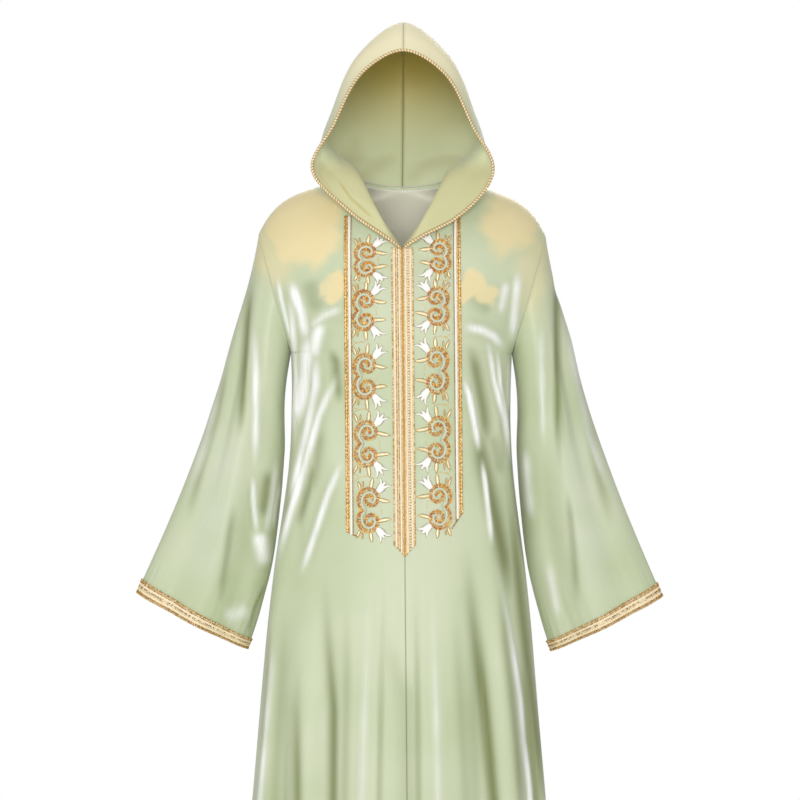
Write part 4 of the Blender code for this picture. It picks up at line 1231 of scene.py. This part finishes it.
def bead_row(bm, line, lift, row, rng, facing=1):
    """Row of beads along a line on the flat.

    The row gives pitch, length and thickness in millimetres, lean and tones. Facing is -1
    where the beads lean the other way.
    """
    pitch, length, thick = (size * MM for size in row[:3])
    lean, tones = row[3:]
    line = np.asarray(line, float)
    ways = run_lengths(line)
    at = pitch / 2
    while at < ways[-1]:
        (x, x1), (z, z1) = (np.interp((at, at + pitch / 4), ways, line[:, axis])
                            for axis in (0, 1))
        slip = rng.uniform(-BEAD_SLIP, BEAD_SLIP)
        turn = math.atan2(z1 - z, x1 - x) + math.radians(lean * facing + slip)
        bead(bm, x, z, lift, length * rng.uniform(*BEAD_LENGTHS),
             thick * rng.uniform(*BEAD_THICKNESSES), turn,
             rng.choice(tones) + rng.uniform(-BEAD_SHADE, BEAD_SHADE))
        at += pitch


def flat_line(pairs, lift):
    """Points on the flat, at a lift, through (across, height) pairs."""
    return np.array([(x, -lift, z) for x, z in pairs])


def read_grid(field, row, column):
    """Values of a grid at places between its rows and columns, and on round to the first."""
    i, j = row.astype(int), np.floor(column).astype(int)
    u, v = (column - j)[:, None], (row - i)[:, None]
    a, b = j % field.shape[1], (j + 1) % field.shape[1]
    return ((1 - v) * ((1 - u) * field[i, a] + u * field[i, b])
            + v * ((1 - u) * field[i + 1, a] + u * field[i + 1, b]))


class FrontSurface:
    """Depth and normals of the dress front over a fine grid in the front view."""

    def __init__(self, shells):
        trees = []
        for shell in shells:
            bm = bmesh.new()
            bm.from_mesh(shell.data)
            trees.append(BVHTree.FromBMesh(bm))
            bm.free()
        self.x, self.z = np.arange(*SURFACE_ACROSS), np.arange(*SURFACE_HEIGHTS)
        self.depth = np.full((len(self.z), len(self.x)), np.nan)
        for i, z in enumerate(self.z):
            for j, x in enumerate(self.x):
                for tree in trees:
                    hit = tree.ray_cast(Vector((x, -1.0, z)), Vector((0.0, 1.0, 0.0)))[0]
                    if hit is not None and not hit.y > self.depth[i, j]:
                        self.depth[i, j] = hit.y
            known = ~np.isnan(self.depth[i])
            self.depth[i] = np.interp(self.x, self.x[known], self.depth[i, known])
        slope_z, slope_x = np.gradient(self.depth, self.z, self.x)
        self.normal = unit(np.stack((slope_x, -np.ones_like(slope_x), slope_z), axis=-1))

    def lay(self, flat):
        """Flat points (across, minus the lift, height) laid on the front."""
        column = np.clip((flat[:, 0] - self.x[0]) / SURFACE_ACROSS[2], 0, len(self.x) - 1.001)
        row = np.clip((flat[:, 2] - self.z[0]) / SURFACE_HEIGHTS[2], 0, len(self.z) - 1.001)
        depth = read_grid(self.depth[..., None], row, column)[:, 0]
        foot = np.stack((flat[:, 0], depth, flat[:, 2]), axis=1)
        return foot - unit(read_grid(self.normal, row, column)) * flat[:, 1:2]


def lay_on_cuff(tube, flat, girth):
    """Flat points (way round, minus the lift, height above the edge) laid on a cuff."""
    rings, columns = tube["points"].shape[:2]
    share = CUFF_BAND_SHARE * flat[:, 2] / CUFF_BAND
    row = np.clip((rings - 1) * (1 - share), 0, rings - 1.001)
    column = flat[:, 0] / girth * columns
    points, normals = (read_grid(tube[kind], row, column) for kind in ("points", "normals"))
    return points - unit(normals) * flat[:, 1:2]


def trim_object(name, bm, material, lay=None, node=None):
    """Object of a trim, laid on its cloth, that rides with the dress."""
    bmesh.ops.remove_doubles(bm, verts=bm.verts[:], dist=MERGE_DISTANCE)
    bmesh.ops.recalc_face_normals(bm, faces=bm.faces[:])
    thing = object_from(name, bm, material)
    if lay is not None:
        mesh = thing.data
        coords = np.zeros(len(mesh.vertices) * 3)
        mesh.vertices.foreach_get("co", coords)
        mesh.vertices.foreach_set("co", lay(coords.reshape(-1, 3)).ravel())
        mesh.update()
    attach(thing, BODY)
    if node:
        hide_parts(node)


def add_braid(kind, word, node, satin, tables, lifts, line_at, lay, rng, facing=1, ends=()):
    """Braid of padded satin cords, gold cords and rows of gold beads.

    The tables give its cords and its bead rows, and line_at the line at a distance. Ends
    are lines with rows of their own.
    """
    cords, rows = tables
    satin_work, gold_work = bmesh.new(), bmesh.new()
    for distance, wide, high, tone in cords:
        cord(satin_work if tone is None else gold_work, flat_line(line_at(distance), lifts[0]),
             wide * MM, high * MM, 8, tone or 0.5)
    for distance, *row in rows:
        bead_row(gold_work, line_at(distance), lifts[1], row, rng, facing)
    for line, row in ends:
        bead_row(gold_work, line, lifts[0], row, rng)
    trim_object(f"{kind}_satin_{word}", satin_work, satin, lay, node)
    trim_object(f"{kind}_beads_{word}", gold_work, gold_thread, lay)


def column_line(side, distance, top, bottom):
    """Line down the front at a distance from the centre seam, from a height to another."""
    heights = np.arange(top, bottom, -COLUMN_STEP)
    return [(centre_seam(z) + side * distance * MM, z) for z in (*heights, bottom)]


def add_placket(side, word, surface):
    """Cream satin placket half, pointed at the centre, with a chain of gold beads."""

    def column(distance):
        way = distance * MM / PLACKET_WIDTH
        foot = PLACKET_FOOT_POINT + way * (PLACKET_FOOT_SIDE - PLACKET_FOOT_POINT)
        return column_line(side, distance, V_BOTTOM_HEIGHT + PLACKET_TOP, foot)

    foot = [(centre_seam(PLACKET_FOOT_POINT), PLACKET_FOOT_POINT),
            (centre_seam(PLACKET_FOOT_SIDE) + side * PLACKET_WIDTH, PLACKET_FOOT_SIDE)]
    add_braid("placket", word, "placket_" + word, cream_satin,
              (PLACKET_CORDS, PLACKET_BEADS[side]), PLACKET_LIFTS, column, surface.lay,
              random.Random(7 + side), side, [(foot, PLACKET_FOOT_BEADS)])


def add_border(side, word, surface):
    """Outer border: gold bead edge with brown stitches, white satin column, brown line."""
    outer_end, inner_end = BORDER_ENDS[side]
    slant_to, slant_end = BORDER_SLANTS[side]

    def column(distance):
        way = (distance * MM - BORDER_INNER) / (BORDER_OUTER - BORDER_INNER)
        return column_line(side, distance, BORDER_TOP_HEIGHT,
                           inner_end + way * (outer_end - inner_end))

    slant = [(centre_seam(outer_end) + side * BORDER_OUTER, outer_end),
             (centre_seam(slant_end) + side * slant_to, slant_end)]
    add_braid("border", word, "border_braid_" + word, white_satin,
              (BORDER_CORDS, BORDER_BEADS), BORDER_LIFTS, column, surface.lay,
              random.Random(17 + side), side, [(slant, BORDER_SLANT_BEADS)])


def add_cuff(side, word, tube):
    """Cuff braid: a twisted gold edge above, cream cords, dots and a gold edge below."""
    last = tube["points"][-1]
    girth = float(np.linalg.norm(last - np.roll(last, 1, axis=0), axis=1).sum())
    ways = np.linspace(0.0, girth, CUFF_STEPS + 1)
    add_braid("cuff", word, "cuff_braid_" + word, cream_satin, (CUFF_CORDS, CUFF_BEADS),
              CUFF_LIFTS, lambda above: [(x, above * MM) for x in ways],
              lambda flat: lay_on_cuff(tube, flat, girth), random.Random(53 + side))


def add_hood_rope(hoods):
    """Three-strand rope of gold, cream and brown thread round the face edge."""
    centres, outs = [], []
    for side, order in ((-1, slice(1, None)), (1, slice(-2, 0, -1))):
        points, normals = hoods[side]["points"], hoods[side]["normals"]
        along = unit(np.gradient(points[:, 0], axis=0))
        out = unit(np.cross(along, normals[:, 0]))
        out *= np.sign(np.sum(out * (points[:, 0] - points[:, 1]), axis=1, keepdims=True))
        centre = points[:, 0] - normals[:, 0] * ROPE_IN + out * ROPE_OUT
        centre[-1, 0] = 0.0
        centres.extend(centre[order])
        outs.extend(out[order])
    centres, outs = np.array(centres), np.array(outs)
    ways = run_lengths(centres)
    fine = np.arange(0.0, ways[-1], ROPE_STEP)
    line, out = (np.stack([np.interp(fine, ways, values[:, axis]) for axis in range(3)], axis=1)
                 for values in (centres, outs))
    out = unit(out)
    front = unit(np.cross(unit(np.gradient(line, axis=0)), out))
    bm = bmesh.new()
    for strand, tone in enumerate(ROPE_TONES):
        turn = math.tau * (fine / ROPE_PITCH + strand / len(ROPE_TONES))
        strand_line = line + ROPE_STRAND_OFFSET * (np.cos(turn)[:, None] * out
                                                   + np.sin(turn)[:, None] * front)
        cord(bm, strand_line, ROPE_STRAND, ROPE_STRAND, 6, tone)
    trim_object("hood_rope", bm, gold_thread, None, "hood_edge_braid")


def add_neck_binding(hoods):
    """Narrow pale binding over the back-neck seam, on the inside of the neckline."""
    bm = bmesh.new()
    for side in SIDE_WORDS:
        points, normals = hoods[side]["points"], hoods[side]["normals"]
        start = int(points.shape[1] * BINDING_FROM)
        line = points[1, start:] - normals[1, start:] * BINDING_IN
        cord(bm, line, BINDING_WIDE, BINDING_HIGH)
    trim_object("back_neck_binding", bm, binding_tape)


def add_inner_seams(hoods):
    """Folded seam allowances down the crown and centre back, inside the hood."""
    bm = bmesh.new()
    points, normals = hoods[-1]["points"], hoods[-1]["normals"]
    inner = points - normals * BINDING_IN
    for line, wide in ((inner[1:, -1], BACK_FOLD_WIDE), (inner[-1, 2:], CROWN_FOLD_WIDE)):
        line[:, 0] = 0.0
        cord(bm, line, wide, SEAM_FOLD_HIGH, 6)
    trim_object("hood_seam_fold", bm, seam_fold)


def petal_line(base, aim, length, bend):
    """Line of a petal or leaf from its base. It bends more and more towards its tip."""
    t = np.linspace(0.0, 1.0, PETAL_STEPS)
    heading = math.radians(aim) + math.radians(bend) * t ** 2
    stride = length / (PETAL_STEPS - 1)
    x = base[0] + np.concatenate(([0.0], np.cumsum(np.cos(heading[:-1]) * stride)))
    z = base[1] + np.concatenate(([0.0], np.cumsum(np.sin(heading[:-1]) * stride)))
    return np.stack((x, z), axis=1)


def petal_width(widest, fullness):
    """Half width along a petal: round at the base and pointed at the tip."""
    t = np.linspace(0.0, 1.0, PETAL_STEPS)
    return widest * (t + 0.02) ** 0.5 * (1 - t) ** fullness * 1.9 + 0.05


def scroll(column, last, notch=None, spread=0.0):
    """Line from a scroll's notch over its back and round to its middle, in millimetres.

    Column 1 of the coil table is the bead band, 2 the pale cord. Spread moves the line
    out by a share of the band's half width.
    """
    line = [] if notch is None else [notch]
    for angle in np.arange(SCROLL_COIL[-1][0], last, -SCROLL_STEP):
        radius = table_value(SCROLL_COIL, angle, column)
        radius += spread * table_value(SCROLL_COIL, angle, 3)
        turn = math.radians(angle)
        line.append((SCROLL_MIDDLE[0] + radius * math.cos(turn),
                     SCROLL_MIDDLE[1] + radius * math.sin(turn)))
    return line


class Motif:
    """A bead scroll with its tulip, leaves and vine.

    It is drawn in millimetres, u towards the placket and v away from the notch.
    """

    def __init__(self, works, rng, side, mirror, pair):
        self.x, z_top, z_bottom, self.size_u, self.size_v = pair
        self.middle, self.gap = (z_top + z_bottom) / 2, (z_top - z_bottom) / 2
        self.works, self.rng, self.side, self.mirror = works, rng, side, mirror

    def place(self, line, centre=None):
        """Points on the flat, with v counted from the scroll's middle or another centre."""
        centre = self.gap if centre is None else centre
        return [((self.x - self.side * u * self.size_u) * MM,
                 (self.middle + self.mirror * (centre + v * self.size_v)) * MM)
                for u, v in line]

    def beads(self, line, lift, row, facing=1):
        """Row of beads along a placed line."""
        bead_row(self.works["beads"], line, lift * MM, row, self.rng, facing)

    def petal(self, kind, base, aim, length, bend, widest, fullness, lift, high, tone):
        """One petal or leaf, or the edge that shows round it."""
        line = self.place(petal_line(base, aim, length, bend))
        width = petal_width(widest, fullness) * MM
        cord(self.works[kind], flat_line(line, lift * MM), width,
             np.minimum(width, high * MM), 8, tone)

    def add_scroll(self):
        """Two rows of copper beads, a fan of pale ones round them and a cord inside."""
        foot = -self.gap / self.size_v
        for spread, row in BAND_ROWS:
            self.beads(self.place(scroll(1, BAND_END, (BAND_NOTCH - 2 * spread, foot), spread)),
                       1.3, row)
        self.beads(self.place(scroll(1, FAN_END, None, FAN_SPREAD)), 0.8, FAN_BEADS)
        inlay = self.place(scroll(2, CORD_END, (CORD_NOTCH, foot)))
        taper = CORD_WIDE * MM * np.minimum(1.0, np.linspace(4.0, 0.4, len(inlay)))
        cord(self.works["cord"], flat_line(inlay, 0.0010), taper, taper * 0.7, 6)

    def add_tulip(self):
        """White tulip of four petals, each over a tan edge."""
        turn = self.rng.uniform(-5, 5)
        for sideways, aim, length, bend, widest, fullness in TULIP_PETALS:
            across = math.radians(aim + turn + 90)
            base = (TULIP_BASE[0] + sideways * math.cos(across),
                    TULIP_BASE[1] + sideways * math.sin(across))
            length *= self.rng.uniform(0.92, 1.06)
            aim += turn + self.rng.uniform(-3, 3)
            self.petal("edges", base, aim, length + 0.5, bend, widest + 0.5, fullness, 0.3,
                       0.5, 0.3)
            self.petal("tulips", base, aim, length, bend, widest, fullness, 1.0, 1.2, 0.9)

    def add_leaves(self):
        """Gold leaves, each over a tan edge. The first has two rows of beads for ribs."""
        for base, aim, length, bend, widest, tone in LEAVES:
            aim += self.rng.uniform(-5, 5)
            length *= self.rng.uniform(0.9, 1.1)
            self.petal("edges", base, aim, length + 0.6, bend, widest + 0.6, 0.7, 0.3, 0.5,
                       0.1)
            self.petal("leaves", base, aim, length, bend, widest, 0.7, 0.7, 0.9, tone)
        ribs = petal_line(*RIB_LINE)
        for shift in (-0.7, 0.7):
            self.beads(self.place([(u, v + shift) for u, v in ribs]), 1.7, RIB_BEADS,
                       self.side * self.mirror)

    def add_vine(self):
        """Vine of small beads between the pair's scrolls, and three pearls."""
        vine = [(u, v * self.gap / VINE_GAP) for u, v in VINE]
        self.beads(self.place(vine, 0.0), 0.6, VINE_BEADS)
        for x, z in self.place(PEARLS):
            bead(self.works["tulips"], x, z, 0.0010, PEARL_SIZE, PEARL_SIZE, 0.0, 0.9)


def add_embroidery(side, word, surface):
    """Five repeats of paired bead scrolls, with tulips, leaves, vines and sprigs."""
    rng = random.Random(29 + side)
    works = {kind: bmesh.new() for kind in EMBROIDERY_NAMES}
    pairs = SCROLL_PAIRS[side]
    for pair in pairs:
        for mirror in (1, -1):
            motif = Motif(works, rng, side, mirror, pair)
            motif.add_scroll()
            motif.add_tulip()
            motif.add_leaves()
            motif.add_vine()
    for above, below in zip(pairs, pairs[1:]):
        x, z = (above[0] + below[0]) / 2, (above[2] + below[1]) / 2
        for line in SPRIG:
            line = [((x - side * u) * MM, (z + v) * MM) for u, v in line]
            bead_row(works["beads"], line, 0.0005, SPRIG_BEADS, rng)
    threads = (copper_beads, silver_cord, white_thread, tan_thread, gold_thread)
    for (kind, name), thread in zip(EMBROIDERY_NAMES.items(), threads):
        trim_object(f"{name}_{word}", works[kind], thread, surface.lay)


def add_camera():
    """Long lens level with the chest, as in the photograph."""
    data = bpy.data.cameras.new("camera")
    data.sensor_width = 36.0
    data.lens = data.sensor_width * CAMERA_DISTANCE / PICTURE_WIDTH
    camera = bpy.data.objects.new("camera", data)
    camera.location = (CAMERA_ACROSS, -CAMERA_DISTANCE, CAMERA_HEIGHT)
    camera.rotation_euler = (math.radians(90), math.radians(CAMERA_ROLL), 0.0)
    bpy.context.scene.collection.objects.link(camera)
    bpy.context.scene.camera = camera


def add_light(name, place, aim, size, power):
    """Soft square light that points at a place."""
    data = bpy.data.lights.new(name, "AREA")
    data.size = size
    data.energy = power
    lamp = bpy.data.objects.new(name, data)
    lamp.location = place
    lamp.rotation_euler = (Vector(aim) - Vector(place)).to_track_quat("-Z", "Y").to_euler()
    bpy.context.scene.collection.objects.link(lamp)


def add_studio():
    """Pale floor, white surroundings and soft lights."""
    bm = bmesh.new()
    bmesh.ops.create_circle(bm, cap_ends=True, segments=96, radius=FLOOR_RADIUS)
    bmesh.ops.translate(bm, verts=bm.verts[:], vec=(0.0, 0.0, HEM_HEIGHT - FLOOR_DROP))
    # Painted studio floor: white and matt
    paint, _, shader = new_material("white_studio_floor")
    fill_inputs(shader, {"Base Color": linear_colour("F4F4F2"), "Roughness": 0.9})
    object_from("floor", bm, paint)

    world = bpy.data.worlds.new("studio")
    world.use_nodes = True
    tree = world.node_tree
    tree.nodes.clear()
    ray = add_node(tree, "ShaderNodeLightPath")
    seen, cast = (add_node(tree, "ShaderNodeBackground", {
        "Color": (1, 1, 1, 1), "Strength": strength}).outputs[0] for strength in (1.0, 0.34))
    both = add_node(tree, "ShaderNodeMixShader", {
        0: ray.outputs["Is Camera Ray"], 1: cast, 2: seen})
    add_node(tree, "ShaderNodeOutputWorld", {"Surface": both.outputs[0]})
    bpy.context.scene.world = world
    bpy.context.scene.view_settings.view_transform = "Standard"
    for light in LIGHTS:
        add_light(*light)


add_camera()
add_studio()

dress_cloth = (satin_material("satin_organza", SAGE_HEX, SAGE_DEEP_HEX, PAINTED_SHADE_HEX),
               inside_material("satin_organza_inside", INSIDE_HEX, INSIDE_HEX))
# On the hood's outside the share of painted shade turns the cloth pale cream towards the crown
hood_cloth = (satin_material("satin_organza_hood", SAGE_HEX, SAGE_DEEP_HEX, CROWN_HEX),
              inside_material("hood_organza_inside", HOOD_INSIDE_HEX, HOOD_SHADE_HEX))

backs = {side: panel(side, is_front=False) for side in SIDE_WORDS}
fronts = {side: panel(side, is_front=True) for side in SIDE_WORDS}
front_shells, tubes, hoods = [], {}, {}
cloth_shell("back_satin", backs.values(), dress_cloth, "back")
for side, word in SIDE_WORDS.items():
    front_shells.append(cloth_shell("front_satin_" + word, [fronts[side]], dress_cloth,
                                    "front_" + word))
    tubes[side] = sleeve(side, fronts[side], backs[side])
    cloth_shell("sleeve_satin_" + word, [tubes[side]], dress_cloth, "sleeve_" + word,
                ring=True)
    hoods[side] = hood_half(side, fronts[side], backs[side])
    cloth_shell("hood_satin_" + word, [hoods[side]], hood_cloth, "hood_" + word)

# Gold lame thread, metal foil wound on a core: brown in its turns, pale where it is lit
gold_thread = thread_material("gold_lame_thread", GOLD_STOPS, 0.45, 0.38, 0.0)
# Copper-lined glass beads: deep orange with small bright points
copper_beads = thread_material("copper_gold_glass_beads", COPPER_STOPS, 0.12, 0.35, 0.4)
# Satin-woven ribbons: a soft even gloss
cream_satin = plain_satin("cream_satin_ribbon", "F7E9C6", 0.45, 0.0, 0.2)
white_satin = plain_satin("ivory_satin_ribbon", "F2EEDF", 0.42, 0.0, 0.2)
# Couched cord with a silver thread in it: pale green-grey, faintly metallic
silver_cord = plain_satin("pale_silver_cord", "C9D1B8", 0.45, 0.05, 0.2)
# Rayon satin stitch: white and silky
white_thread = plain_satin("white_satin_stitch", "F8F6F1", 0.50, 0.0, 0.3)
# Woven cotton tape: matt and pale
binding_tape = plain_satin("pale_green_binding_tape", "E3E8D2", 0.55, 0.0, 0.2)
# The organza folded double on itself: matt and olive
seam_fold = plain_satin("folded_seam_allowance", "A09B62", 0.60, 0.0, 0.2)
# Couched cotton thread: a dull tan outline
tan_thread = plain_satin("tan_couched_thread", "A98850", 0.60, 0.0, 0.0)

surface = FrontSurface(front_shells)
for side, word in SIDE_WORDS.items():
    add_placket(side, word, surface)
    add_border(side, word, surface)
    add_embroidery(side, word, surface)
    add_cuff(side, word, tubes[side])
add_hood_rope(hoods)
add_neck_binding(hoods)
add_inner_seams(hoods)
bpy.data.meshes.remove(BEAD[0])
